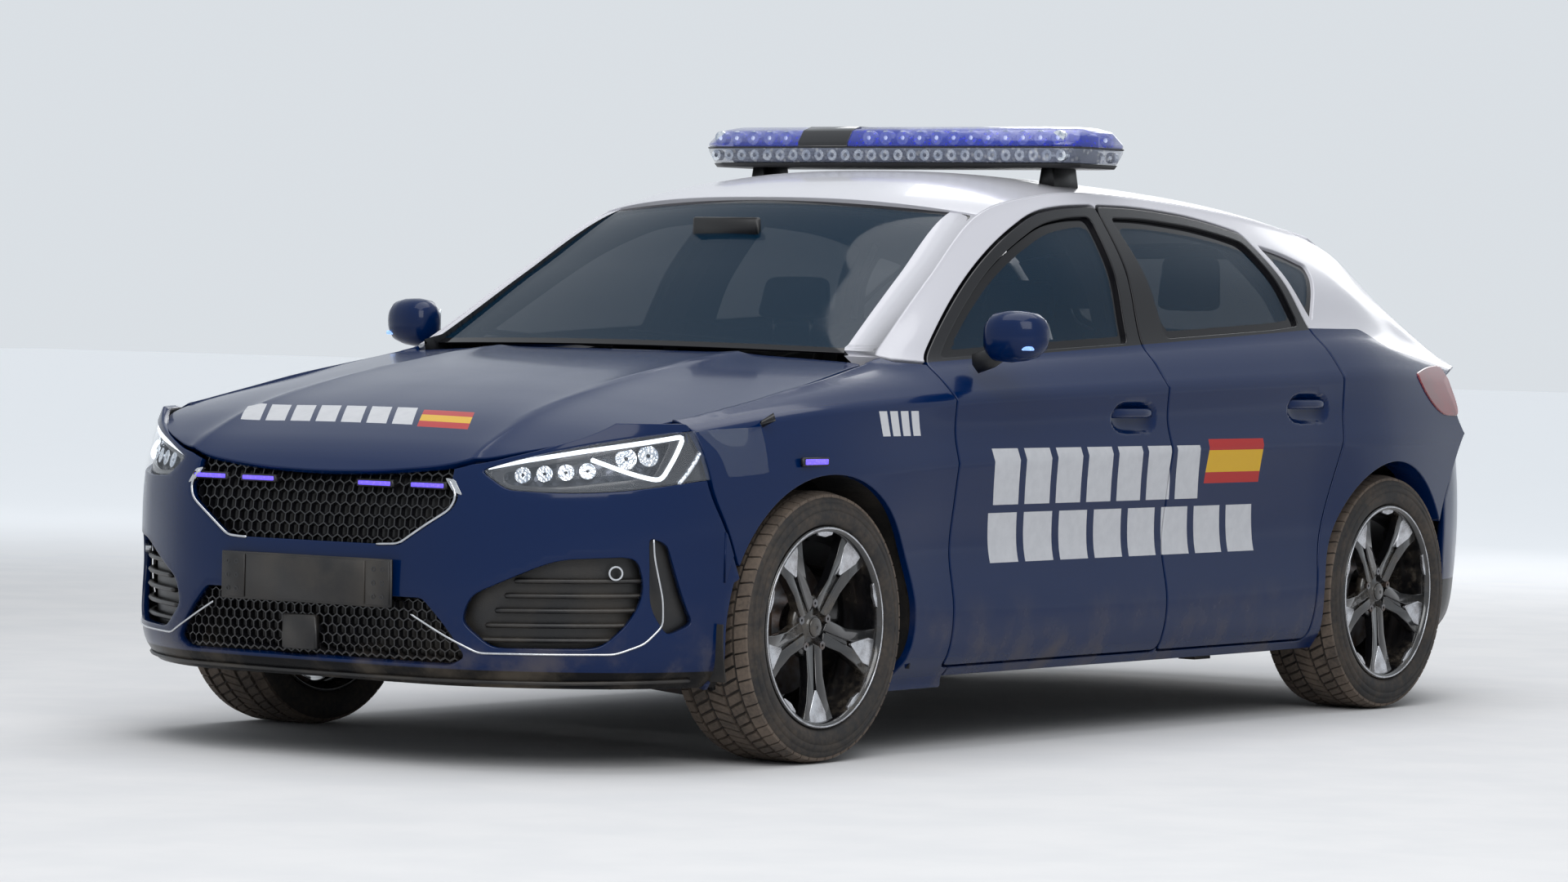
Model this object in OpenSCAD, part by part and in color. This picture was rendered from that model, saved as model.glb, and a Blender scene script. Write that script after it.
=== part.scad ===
// Five-door patrol car: a compact hatchback with a roof light bar.
// +X points forward, +Y to the car's left, +Z up; the origin lies on the ground, under the middle of the car.

/* [Overall] */
// Length over both bumpers
body_length = 4398; // [4000:1:5300]
// Width over the doors, without the mirrors
body_width = 1799; // [1650:1:2150]
// Height of the roof panel above the ground
roof_height = 1442; // [1360:1:1750]
// Distance between the axles
wheelbase = 2686; // [2500:1:3250]
// Distance from the front bumper to the front axle
front_overhang = 868; // [820:1:1000]
// Height of the sills above the ground
sill_height = 178; // [150:1:220]

/* [Panels] */
// Shut line between neighbouring panels
panel_gap = 6; // [5:0.5:9]
// Thickness of bumper covers, wings, bonnet and tailgate
skin_wall = 22; // [16:1:28]
// Thickness of the doors below the windows
door_wall = 75; // [60:1:90]
// Thickness of the roof with its lining
roof_wall = 30; // [20:1:36]
// Thickness of the window glass
glass_wall = 5; // [4:0.5:8]

/* [Wheels] */
// Outer radius of the tyres
tyre_radius = 323; // [290:1:345]
// Width of the tyres
tyre_width = 235; // [195:1:250]
// Radius of the rim where the tyre's bead sits
bead_radius = 241; // [215:1:250]
// Distance between the middles of the front tyres
track = 1534; // [1480:1:1560]
// Radius of the opening of the wheel arches
arch_radius = 362; // [360:1:385]
// Wheel bolts on their circle
bolt_count = 5; // [4:1:6]

/* [Light bar] */
// Width of the light bar across the roof
bar_width = 1212; // [900:1:1300]
// Depth of the light bar along the roof
bar_depth = 300; // [240:1:340]
// Height of the light bar's housing
bar_height = 112; // [90:1:130]

/* [Hidden] */
$fn = 48;

// The body is drawn at these reference sizes, and fitted to the driving dimensions by fit_x, fit_y and fit_z.
ref_nose = 2199;
ref_front_axle = 1331;
ref_rear_axle = -1355;
ref_half_width = 899.5;
ref_sill = 178;
ref_roof = 1442;
nose_x = body_length / 2;
front_axle = nose_x - front_overhang;
rear_axle = front_axle - wheelbase;
function fit_x(x) = lookup(x, [[-ref_nose, -nose_x], [ref_rear_axle, rear_axle],
    [ref_front_axle, front_axle], [ref_nose, nose_x]]);
function fit_y(y) = y * body_width / 2 / ref_half_width;
function fit_z(z) = lookup(z, [[0, 0], [ref_sill, sill_height], [ref_roof, roof_height],
    [ref_roof + 400, roof_height + 400]]);
function fit(p) = [fit_x(p[0]), fit_y(p[1]), fit_z(p[2])];
function side_view(points) = [for (p = points) [fit_x(p[0]), fit_z(p[1])]];
function top_view(points) = [for (p = points) [fit_x(p[0]), fit_y(p[1])]];
function front_view(points) = [for (p = points) [fit_y(p[0]), fit_z(p[1])]];

// A smooth curve through stations [t, value] in rising order of t; a value may be a number or a vector.
function span(p, t, i = 0) = i >= len(p) - 2 || t < p[i + 1][0] ? i : span(p, t, i + 1);
function slope(p, i) = let (a = max(i - 1, 0), b = min(i + 1, len(p) - 1)) (p[b][1] - p[a][1]) / (p[b][0] - p[a][0]);
function along(p, t) =
    let (i = span(p, t), a = p[i], b = p[i + 1], h = b[0] - a[0], s = min(max((t - a[0]) / h, 0), 1))
    a[1] * (2 * s ^ 3 - 3 * s ^ 2 + 1) + slope(p, i) * h * (s ^ 3 - 2 * s ^ 2 + s)
    + b[1] * (3 * s ^ 2 - 2 * s ^ 3) + slope(p, i + 1) * h * (s ^ 3 - s ^ 2);
function rising(line) = [for (p = line) [p[0], [p[2], p[1]]]];

// The lines that run along the body side, from the sill to the roof rail, each as [x, y, z] from tail to nose.
sill_under = [[-2000, 770, 190], [-1355, 820, 178], [800, 822, 178], [1331, 820, 178], [1900, 790, 190]];
sill_side = [[-2000, 800, 250], [-1355, 874, 240], [-900, 868, 238], [0, 866, 238], [800, 868, 238],
    [1331, 874, 240], [1900, 826, 250]];
sill_flare = [[-2000, 806, 350], [-1355, 890, 350], [-900, 884, 345], [0, 882, 340], [800, 884, 345],
    [1331, 890, 350], [1900, 834, 350]];
door_hollow = [[-2000, 812, 490], [-1355, 896, 490], [-900, 870, 490], [0, 862, 480], [800, 866, 490],
    [1331, 892, 490], [1900, 834, 480]];
door_middle = [[-2000, 808, 620], [-1355, 898, 610], [-900, 880, 640], [0, 880, 630], [800, 880, 620],
    [1331, 897, 600], [1900, 830, 600]];
lower_crease = [[-2000, 800, 755], [-1355, 899, 748], [-900, 894, 742], [0, 897, 724], [800, 892, 704],
    [1331, 896, 690], [1900, 820, 680]];
side_valley = [[-2000, 790, 830], [-1355, 882, 828], [-900, 880, 820], [0, 881, 800], [800, 877, 780],
    [1331, 884, 765], [1900, 806, 730]];
upper_crease = [[-2000, 752, 900], [-1355, 868, 925], [-900, 885, 910], [0, 889, 886], [800, 882, 862],
    [1331, 868, 838], [1900, 784, 770]];
shoulder = [[-2000, 722, 935], [-1355, 815, 995], [-900, 838, 980], [0, 840, 948], [800, 826, 915],
    [1331, 820, 868], [1900, 760, 785]];
belt = [[-2000, 690, 955], [-1700, 722, 1000], [-1355, 762, 1048], [-900, 788, 1036], [0, 797, 992],
    [800, 778, 953], [950, 768, 935], [1331, 785, 881], [1900, 742, 792]];
glass_middle = [[-2000, 665, 965], [-1700, 640, 1100], [-1355, 686, 1170], [-900, 716, 1190], [0, 716, 1190],
    [400, 704, 1135], [800, 734, 1005], [950, 744, 946], [1331, 776, 885], [1900, 735, 795]];
rail = [[-2000, 640, 972], [-1850, 590, 1075], [-1700, 560, 1180], [-1550, 545, 1262], [-1300, 552, 1318],
    [-900, 562, 1362], [-300, 572, 1392], [0, 577, 1380], [306, 596, 1322], [600, 652, 1160],
    [919, 712, 968], [950, 728, 953], [1331, 768, 889], [1900, 728, 798]];
SIDE_LINES = [for (l = [sill_under, sill_side, sill_flare, door_hollow, door_middle, lower_crease, side_valley,
    upper_crease, shoulder, belt, glass_middle, rail]) rising(l)];
function side_section(x) = [for (l = SIDE_LINES) along(l, x)];
function side_y(x, z) = along(side_section(x), z);
function rail_at(x) = let (p = along(rising(rail), x)) [x, p[1], p[0]];

// A closed shell between a grid of points and the same grid moved against its normals by a wall.
function unit(v) = v / max(norm(v), 1e-9);
function normal_at(g, i, j) =
    let (n = len(g) - 1, m = len(g[0]) - 1)
    unit(cross(g[min(i + 1, n)][j] - g[max(i - 1, 0)][j], g[i][min(j + 1, m)] - g[i][max(j - 1, 0)]));
module shell(g, wall, from = 0) {
    n = len(g);
    m = len(g[0]);
    function at(i, j) = i * m + j;
    outer = [for (i = [0:n - 1], j = [0:m - 1]) g[i][j] - normal_at(g, i, j) * from];
    inner = [for (i = [0:n - 1], j = [0:m - 1]) g[i][j] - normal_at(g, i, j) * (from + wall)];
    k = n * m;
    rim = concat([for (j = [0:m - 2]) at(0, j)], [for (i = [0:n - 2]) at(i, m - 1)],
        [for (j = [m - 1:-1:1]) at(n - 1, j)], [for (i = [n - 1:-1:1]) at(i, 0)]);
    r = len(rim);
    polyhedron(points = concat(outer, inner), convexity = 6, faces = concat(
        [for (i = [0:n - 2], j = [0:m - 2]) each [[at(i, j), at(i, j + 1), at(i + 1, j)],
            [at(i, j + 1), at(i + 1, j + 1), at(i + 1, j)]]],
        [for (i = [0:n - 2], j = [0:m - 2]) each [[k + at(i, j), k + at(i + 1, j), k + at(i, j + 1)],
            [k + at(i, j + 1), k + at(i + 1, j), k + at(i + 1, j + 1)]]],
        [for (e = [0:r - 1]) each [[rim[e], k + rim[e], rim[(e + 1) % r]],
            [rim[(e + 1) % r], k + rim[e], k + rim[(e + 1) % r]]]]));
}
// Panels are trimmed as one mesh.
module one_mesh() resize([0, 0, 0]) children();
module block(x, y, z) translate([fit_x(x[0]), fit_y(y[0]), z[0]])
    cube([fit_x(x[1]) - fit_x(x[0]), fit_y(y[1]) - fit_y(y[0]), z[1] - z[0]]);
module both_sides() {
    children();
    mirror([0, 1, 0]) children();
}

// Grids of points over the body, in stations along it and steps across it.
SIDE_STATIONS = [for (x = [1720:-124:-2000]) x];
function side_levels(s) = [for (i = [0:len(s) - 2], k = (i == 3 || i == 8 || i > 8 ? [0, 0.5] : [0]))
    s[i][0] + (s[i + 1][0] - s[i][0]) * k];
function side_grid(a, b) = [for (x = SIDE_STATIONS) if (x >= a && x <= b)
    let (s = side_section(x)) [for (z = concat(side_levels(s), [s[len(s) - 1][0]])) fit([x, along(s, z), z])]];

// The nose and tail are drawn as plans, [y, x] at bumper height, and set back with height.
nose_plan = [[0, [2187, 0]], [2, [2180, 220]], [4, [2150, 430]], [5.6, [2062, 610]], [6.8, [1962, 730]],
    [7.7, [1860, 800]], [8.6, [1740, 845]], [9.4, [1640, 866]], [10, [1560, 876]]];
nose_setback = [[190, 60], [235, 14], [280, 2], [400, 0], [520, 6], [600, 16], [660, 32], [700, 52], [760, 90],
    [810, 130]];
tail_plan = [[0, [-2199, 0]], [2, [-2192, 240]], [4, [-2160, 450]], [5.6, [-2098, 610]], [6.8, [-2015, 720]],
    [7.7, [-1925, 790]], [8.6, [-1820, 840]], [9.4, [-1720, 868]], [10, [-1620, 886]]];
tail_setback = [[200, 120], [260, 70], [330, 22], [400, 4], [500, 0], [590, 8], [660, 45], [740, 82], [860, 96],
    [930, 100], [965, 108]];
function end_point(plan, setback, z, t, sign) =
    let (p = along(plan, t), s = along(setback, z), k = side_y(plan[8][1][0], z) / plan[8][1][1])
    fit([p[0] - sign * s * (1 - t / 10), p[1] * (1 + (k - 1) * min(1, t / 6)), z]);
NOSE_LEVELS = [190, 230, 290, 400, 520, 600, 650, 700, 750, 800];
TAIL_LEVELS = [200, 245, 320, 500, 600, 660, 740, 850, 965];
END_STEPS = [-10, -9, -8, -7, -6.1, -5.2, -4, -2.6, -1.3, 0, 1.3, 2.6, 4, 5.2, 6.1, 7, 8, 9, 10];
function flip(p, s) = [p[0], p[1] * (s < 0 ? -1 : 1), p[2]];
function nose_grid(steps = END_STEPS, levels = NOSE_LEVELS) = [for (t = steps) [for (z = levels)
    flip(end_point(nose_plan, nose_setback, z, abs(t), 1), t)]];
function tail_grid() = [for (t = END_STEPS) [for (i = [len(TAIL_LEVELS) - 1:-1:0])
    flip(end_point(tail_plan, tail_setback, TAIL_LEVELS[i], abs(t), -1), t)]];

// Bonnet height: a crowned surface from the middle line down to the wings.
bonnet_middle = [[950, 972], [1100, 962], [1300, 940], [1500, 910], [1700, 872], [1900, 820], [2050, 758],
    [2120, 716], [2175, 668]];
bonnet_drop = [[950, 26], [1331, 52], [1600, 54], [1900, 42], [2100, 34], [2175, 30]];
function bonnet_z(x, y) = let (u = abs(y) / 760)
    along(bonnet_middle, x) - along(bonnet_drop, x) * u ^ 2.4 + 7 * exp(-((abs(y) - 430 + (2100 - x) * 0.05) / 70) ^ 2);
BONNET_X = [940, 1060, 1220, 1400, 1580, 1740, 1870, 1980, 2070, 2130, 2175];
function bonnet_grid() = [for (x = BONNET_X) [for (i = [-6:6]) fit([x, i * 133, bonnet_z(x, i * 133)])]];

// Surfaces hung between the two rails: windscreen, roof, and the top of the tailgate.
function hung(e, bow_x, bow_z, u, power = 2) = let (c = 1 - abs(u) ^ power)
    [e[0] + bow_x * c, e[1] * u, e[2] + bow_z * c];
ACROSS = [-1, -0.92, -0.75, -0.5, -0.25, 0, 0.25, 0.5, 0.75, 0.92, 1];
screen_bow = [[306, [104, 34]], [600, [108, 22]], [919, [104, 10]]];
function screen_grid() = [for (x = [306:87.5:919]) let (b = along(screen_bow, x), e = rail_at(x))
    [for (u = ACROSS) fit(hung(e, b[0], b[1], u))]];
roof_bow = [[-1460, [-10, 80]], [-1300, [0, 72]], [-900, [0, 60]], [-300, [0, 50]], [0, [30, 58]], [306, [104, 40]]];
function roof_point(x, u) = let (b = along(roof_bow, x)) hung(rail_at(x), b[0], b[1], u, 2.6);
ROOF_X = [-1460, -1360, -1220, -1040, -820, -560, -300, -100, 60, 190, 306];
function roof_grid() = [for (x = ROOF_X) [for (u = ACROSS) fit(roof_point(x, u))]];
// Tailgate top: the middle line and the edge line, from the roof over the spoiler tip and the glass to the lip.
gate_middle = [[0, [-1462, 1380]], [1, [-1640, 1343]], [2, [-1800, 1304]]];
gate_edge = [[0, [-1450, 545, 1300]], [1, [-1560, 540, 1258]], [2, [-1650, 534, 1222]]];
glass_mid_line = [[0, [-1700, 1290]], [1, [-1840, 1196]], [2, [-1960, 1095]], [3, [-2050, 1002]], [3.4, [-2090, 975]]];
glass_edge_line = [[0, [-1600, 540, 1240]], [1, [-1730, 558, 1160]], [2, [-1850, 588, 1072]], [3, [-1970, 632, 985]],
    [3.4, [-1994, 642, 962]]];
function gate_point(mid, edge, v, u) = let (m = along(mid, v), e = along(edge, v), c = 1 - abs(u) ^ 2.2)
    fit([e[0] + (m[0] - e[0]) * c, e[1] * u, e[2] + (m[1] - e[2]) * c]);
function spoiler_grid() = [for (v = [2:-0.5:0]) [for (u = ACROSS) gate_point(gate_middle, gate_edge, v, u)]];
function rear_screen_grid() = [for (v = [3.4, 3, 2.4, 1.8, 1.2, 0.6, 0])
    [for (u = ACROSS) gate_point(glass_mid_line, glass_edge_line, v, u)]];

// Outlines, in side view [x, z], front view [y, z] or top view [x, y].
front_door_line = [[800, 205], [800, 946], [778, 966], [600, 1085], [420, 1190], [250, 1272], [60, 1338],
    [-100, 1356], [-245, 1361], [-210, 1190], [-175, 1010], [-165, 930], [-175, 800], [-188, 600], [-190, 205]];
rear_door_line = [[-190, 205], [-188, 600], [-175, 800], [-165, 930], [-175, 1010], [-210, 1190], [-245, 1361],
    [-450, 1361], [-700, 1345], [-850, 1325], [-965, 1303], [-1000, 1220], [-1045, 1100], [-1062, 1040],
    [-1080, 930], [-1072, 800], [-1042, 690], [-1008, 600], [-978, 500], [-958, 400], [-945, 205]];
front_window_line = [[725, 962], [590, 1055], [420, 1158], [250, 1241], [60, 1308], [-90, 1327], [-185, 1330],
    [-150, 1180], [-112, 1003], [300, 984]];
rear_window_line = [[-300, 1016], [-285, 1330], [-450, 1331], [-700, 1315], [-850, 1294], [-930, 1277],
    [-965, 1200], [-1012, 1056], [-880, 1044]];
quarter_window_line = [[-1010, 1272], [-1120, 1256], [-1235, 1222], [-1222, 1195], [-1095, 1068], [-1058, 1140]];
tail_line = [[-1600, 140], [-1640, 440], [-1690, 560], [-1760, 640], [-1828, 712], [-1880, 755], [-2300, 727],
    [-2300, 140]];
lamp_line = [[-1800, 905], [-1835, 800], [-1880, 758], [-2300, 730], [-2300, 948], [-1960, 940]];
bumper_shut = [[1780, 830], [1760, 735], [1745, 640], [1700, 560], [1650, 440]];
wing_line = concat([[760, 150], [760, 946], [905, 955], [960, 990], [1400, 990]], bumper_shut, [[1331, 323], [1100, 150]]);
headlamp_line = [[452, 692], [560, 728], [700, 766], [900, 812], [900, 700], [770, 652], [640, 642], [520, 648]];
grille_line = [[388, 660], [412, 632], [398, 600], [262, 514]];
low_grille_line = [[330, 394], [395, 330], [440, 262], [400, 240]];
intake_line = [[452, 405], [600, 478], [640, 492], [762, 500], [775, 420], [752, 345], [705, 288], [500, 285],
    [430, 345]];
vent_line = [[778, 545], [800, 530], [826, 345], [800, 318], [780, 380]];
bonnet_line = [[2168, 0], [2160, 200], [2136, 380], [2098, 480], [2030, 590], [1960, 668], [1870, 722], [1740, 752],
    [1500, 768], [1331, 766], [1150, 752], [985, 726], [978, 690], [1000, 540], [1020, 360], [1032, 180], [1036, 0]];

door_lean = 0.46;
door_hinge_y = fit_y(897);
// A door's edges lean forward with depth, so that the swinging door leaves its opening without touching it.
module door_prism(line, grow = 0, depth = 500) {
    lean = [for (p = line) [fit_x(p[0]) + door_lean * (fit_y(side_y(p[0], p[1])) - door_hinge_y), fit_z(p[1])]];
    multmatrix([[1, -door_lean, 0, door_lean * door_hinge_y], [0, 1, 0, 0], [0, 0, 1, 0], [0, 0, 0, 1]])
        translate([0, door_hinge_y + 60, 0]) rotate([90, 0, 0])
            linear_extrude(depth) offset(delta = grow) polygon(lean);
}
module side_prism(line, grow = 0, depth = 700) {
    translate([0, body_width / 2 + 60, 0]) rotate([90, 0, 0])
        linear_extrude(depth) offset(delta = grow) polygon(side_view(line));
}
module front_prism(line, grow = 0, from = 1500, to = 2400) {
    translate([from, 0, 0]) rotate([90, 0, 90]) linear_extrude(to - from) offset(delta = grow)
        polygon(front_view(line));
}
function mirrored(line) = concat(line, [for (i = [len(line) - 1:-1:0]) [-line[i][0], line[i][1]]]);
function both_halves(line) = concat(line, [for (i = [len(line) - 1:-1:0]) if (line[i][1] > 0) [line[i][0], -line[i][1]]]);
// The bonnet's edges lean back with depth, so that its front edge lifts clear of the bumper.
bonnet_lean = 0.3;
bonnet_zero = fit_z(600);
module bonnet_prism(grow = 0) {
    lean = [for (p = both_halves(bonnet_line))
        [fit_x(p[0]) - bonnet_lean * (fit_z(bonnet_z(p[0], p[1])) - bonnet_zero), fit_y(p[1])]];
    multmatrix([[1, 0, bonnet_lean, -bonnet_lean * bonnet_zero], [0, 1, 0, 0], [0, 0, 1, 0], [0, 0, 0, 1]])
        translate([0, 0, bonnet_zero - 100]) linear_extrude(600) offset(delta = grow) polygon(lean);
}
module arch_cut(x, r) {
    translate([x, 0, tyre_radius]) rotate([90, 0, 0]) cylinder(r = r, h = body_width + 200, center = true, $fn = 72);
    translate([x - r * 0.94, -body_width, -tyre_radius]) cube([r * 1.88, body_width * 2, tyre_radius + 200]);
}

// The tailgate turns about this line, and its side edges are turned about it too.
gate_hinge = [fit_x(-1452), fit_z(1388)];
gate_profile = [[0, 548], [180, 534], [330, 556], [480, 590], [600, 630], [690, 640], [790, 628], [870, 585],
    [960, 528], [1080, 500]];
module gate_turned(grow = 0) {
    // Reach is the distance from the hinge line; the second number is half the width there.
    translate([gate_hinge[0], 0, gate_hinge[1]]) rotate([90, 0, 0]) rotate_extrude($fn = 96)
        polygon(concat([[0, -fit_y(gate_profile[0][1]) - grow]],
            [for (p = gate_profile) if (p[0] > 0) [p[0] + (p[0] > 1000 ? grow : 0), -fit_y(p[1]) - grow]],
            [for (i = [len(gate_profile) - 1:-1:1]) [gate_profile[i][0] + (gate_profile[i][0] > 1000 ? grow : 0),
                fit_y(gate_profile[i][1]) + grow]],
            [[0, fit_y(gate_profile[0][1]) + grow]]));
}
gate_foot = fit_z(652);
module gate_space(grow = 0) {
    intersection() {
        gate_turned(grow);
        translate([-nose_x - 100, -body_width, gate_foot - grow])
            cube([gate_hinge[0] + grow + nose_x + 100, body_width * 2, roof_height]);
    }
}

// ---- outer panels ----
module side_wall(a, b, wall, from = 0) shell(side_grid(a, b), wall, from);
// Everything outside a skin of the given depth, used to seat inner pieces against the outer panels.
seat_gap = 0.3;
margin = 60;
module outside_side(depth, a = -2000, b = 1900) side_wall(a, b, margin + depth + seat_gap, -margin);
module outside_nose(depth) shell(nose_grid(), margin + depth + seat_gap, -margin);
module outside_tail(depth) shell(tail_grid(), margin + depth + seat_gap, -margin);
pillar_depth = 13;
sill_inner = 735;
module body_side() {
    color("midnightblue") one_mesh() {
        difference() {
            union() {
                side_wall(-2000, 980, door_wall);
                translate([fit_x(-1000), fit_y(sill_inner), floor_base])
                    cube([fit_x(960) - fit_x(-1000), fit_y(60), fit_z(240) - floor_base]);
            }
            door_prism(front_door_line, panel_gap / 2);
            door_prism(rear_door_line, panel_gap / 2);
            side_prism(wing_line, panel_gap / 2);
            side_prism(tail_line, panel_gap / 2);
            side_prism(lamp_line, panel_gap / 2);
            side_prism(quarter_window_line);
            arch_cut(front_axle, arch_radius + 28);
            arch_cut(rear_axle, arch_radius);
            gate_space(panel_gap / 2);
        }
        // Middle pillar, behind the edges of both doors, with the front door's stop.
        intersection() {
            side_wall(-380, 0, 45, door_wall + pillar_depth);
            side_prism([[-270, 190], [-270, 1070], [-120, 1070], [-120, 190]]);
        }
        block([-260, -130], [sill_inner, 756], [floor_base, fit_z(300)]);
        block([-290, -200], [515, 558], [fit_z(1290), fit_z(1367)]);
        intersection() {
            side_wall(-380, 0, door_wall + pillar_depth + 20 - frame_wall - 8, frame_wall + 8);
            side_prism([[-290, 1022], [-300, 1400], [-180, 1400], [-138, 1022]]);
        }
        intersection() {
            side_wall(-260, 0, pillar_depth + 5, door_wall + seat_gap);
            side_prism([[-148, 560], [-148, 640], [-120, 640], [-120, 560]]);
        }
        // Stop of the rear door, on the wheelhouse edge.
        intersection() {
            side_wall(-1240, -860, 25, door_wall - 5);
            side_prism([[-1100, 650], [-1100, 700], [-1054, 700], [-1054, 650]]);
        }
        intersection() {
            side_wall(-1240, -860, 20, door_wall + seat_gap);
            side_prism([[-1080, 650], [-1080, 700], [-985, 700], [-985, 650]]);
        }
        // Hinge pillar, inside the front wing.
        difference() {
            intersection() {
                side_wall(700, 980, 60, skin_wall + seat_gap);
                side_prism([[790, 178], [790, 925], [930, 930], [930, 178]]);
            }
            arch_cut(front_axle, arch_radius + 28);
            door_prism(front_door_line, panel_gap);
        }
    }
}
module roof_panel() {
    color("lavender") one_mesh() difference() {
        shell(roof_grid(), roof_wall);
        gate_space(panel_gap / 2);
        both_sides() side_wall(-2000, 980, door_wall);
    }
}
module front_wing() {
    color("midnightblue") one_mesh() difference() {
        intersection() {
            side_wall(640, 1900, skin_wall);
            side_prism(wing_line, -panel_gap / 2);
        }
        door_prism(front_door_line, panel_gap / 2);
        bonnet_prism(panel_gap / 2);
        arch_cut(front_axle, arch_radius);
    }
}
lamp_gap = 0.3;
opening_front = 1780;
module nose_cuts() {
    both_sides() {
        front_prism(headlamp_line, lamp_gap / 2);
        front_prism(intake_line, 0, opening_front);
        front_prism(vent_line, 0, opening_front);
    }
    front_prism(mirrored(grille_line), 0, 2000);
    front_prism(mirrored(low_grille_line), 0, 2000);
}
module front_bumper() {
    color("midnightblue") one_mesh() difference() {
        shell(nose_grid(), skin_wall);
        both_sides() side_prism(concat([[1400, 1000], [1790, 1000]], bumper_shut, [[1400, 440]]), panel_gap / 2);
        bonnet_prism(panel_gap / 2);
        arch_cut(front_axle, arch_radius);
        nose_cuts();
    }
}
grille_wall = 10;
grille_lap = 12;
module front_grilles() {
    color("dimgray") one_mesh() difference() {
        intersection() {
            shell(nose_grid(), grille_wall, skin_wall + seat_gap);
            union() {
                front_prism(mirrored(grille_line), grille_lap, 2000);
                front_prism(mirrored(low_grille_line), grille_lap, 2000);
                both_sides() {
                    front_prism(intake_line, grille_lap, opening_front);
                    front_prism(vent_line, grille_lap, opening_front);
                }
            }
        }
        arch_cut(front_axle, arch_radius + 28);
    }
}
module headlamps() {
    color("gainsboro") one_mesh() difference() {
        intersection() {
            shell(nose_grid(), 90);
            both_sides() front_prism(headlamp_line, -lamp_gap / 2);
        }
        bonnet_prism(panel_gap / 2);
        both_sides() side_prism(wing_line, panel_gap / 2);
    }
}
module rear_bumper() {
    color("midnightblue") one_mesh() difference() {
        intersection() {
            shell(tail_grid(), skin_wall);
            both_sides() side_prism(tail_line, -panel_gap / 2, body_width / 2 + 100);
        }
        gate_space(panel_gap / 2);
        arch_cut(rear_axle, arch_radius);
        both_sides() side_prism(lamp_line, panel_gap / 2, 760);
    }
}
module tail_lamps() {
    color("firebrick") one_mesh() difference() {
        intersection() {
            shell(tail_grid(), 60);
            both_sides() side_prism(lamp_line, panel_gap / 2 - seat_gap, 760);
        }
        gate_space(panel_gap / 2);
    }
}
module bonnet() {
    color("midnightblue") one_mesh() intersection() {
        shell(bonnet_grid(), skin_wall);
        bonnet_prism(-panel_gap / 2);
    }
}
module windscreen() {
    color("steelblue") one_mesh() difference() {
        shell(screen_grid(), glass_wall, 2);
        both_sides() side_wall(-2000, 980, door_wall);
        shell(roof_grid(), roof_wall + seat_gap);
    }
}
module tailgate() {
    color("lavender") one_mesh() difference() {
        intersection() {
            union() {
                shell(spoiler_grid(), skin_wall);
                shell(rear_screen_grid(), skin_wall);
                shell(tail_grid(), skin_wall);
            }
            gate_space(-panel_gap / 2);
        }
        rear_screen_cut();
    }
}
rear_glass_line = [[250, 1256], [400, 1246], [452, 1215], [520, 1060], [470, 1030], [250, 1022]];
module rear_screen_cut(grow = 0) front_prism(mirrored(rear_glass_line), grow, -2300, -1500);
module tailgate_glass() {
    color("steelblue") one_mesh() intersection() {
        shell(rear_screen_grid(), glass_wall, 3);
        rear_screen_cut(-0.4);
    }
}
frame_wall = 42;
frame_foot = 1010;
frame_top_inner = 568;
module door(line, window, handle_x, handle_z) {
    color("midnightblue") one_mesh() {
        difference() {
            intersection() {
                side_wall(min([for (p = line) p[0]]) - 150, max([for (p = line) p[0]]) + 150, door_wall);
                door_prism(line, -panel_gap / 2);
            }
            side_prism(window);
            arch_cut(rear_axle, arch_radius + 24);
            // The window frame is thinner than the door below it.
            intersection() {
                side_wall(-1200, 980, door_wall, frame_wall);
                translate([-nose_x, 0, fit_z(frame_foot)]) cube([nose_x * 2, body_width, 600]);
            }
            translate([-nose_x, 0, fit_z(1240)]) cube([nose_x * 2, fit_y(frame_top_inner), 300]);
        }
        handle(handle_x, handle_z);
    }
}
module handle(x, z) {
    y = fit_y(side_y(x, z));
    translate([fit_x(x), y - 6, fit_z(z)]) hull() {
        translate([-95, -12, -14]) cube([190, 8, 28]);
        translate([-80, 22, -9]) cube([160, 8, 18]);
    }
}
module door_glass(line, window) {
    color("steelblue") one_mesh() intersection() {
        side_wall(min([for (p = window) p[0]]) - 120, max([for (p = window) p[0]]) + 120, glass_wall, 12);
        side_prism(window, -0.4);
    }
}
module quarter_glass() {
    color("steelblue") one_mesh() intersection() {
        side_wall(-1400, -900, glass_wall, 10);
        side_prism(quarter_window_line, -0.4);
    }
}
module mirror_unit() {
    y = fit_y(905);
    color("midnightblue") one_mesh() difference() {
        union() {
            hull() {
                translate([fit_x(575), y + 20, fit_z(1035)]) sphere(r = 55, $fn = 20);
                translate([fit_x(600), y + 92, fit_z(1030)]) sphere(r = 42, $fn = 20);
                translate([fit_x(640), y + 30, fit_z(1015)]) sphere(r = 40, $fn = 20);
            }
            hull() {
                translate([fit_x(640), y - 10, fit_z(985)]) sphere(r = 20, $fn = 12);
                translate([fit_x(730), fit_y(side_y(730, 925)) + 2, fit_z(925)]) cube([60, 26, 24], center = true);
            }
        }
        side_wall(400, 1000, 200, -seat_gap);
    }
}

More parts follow.
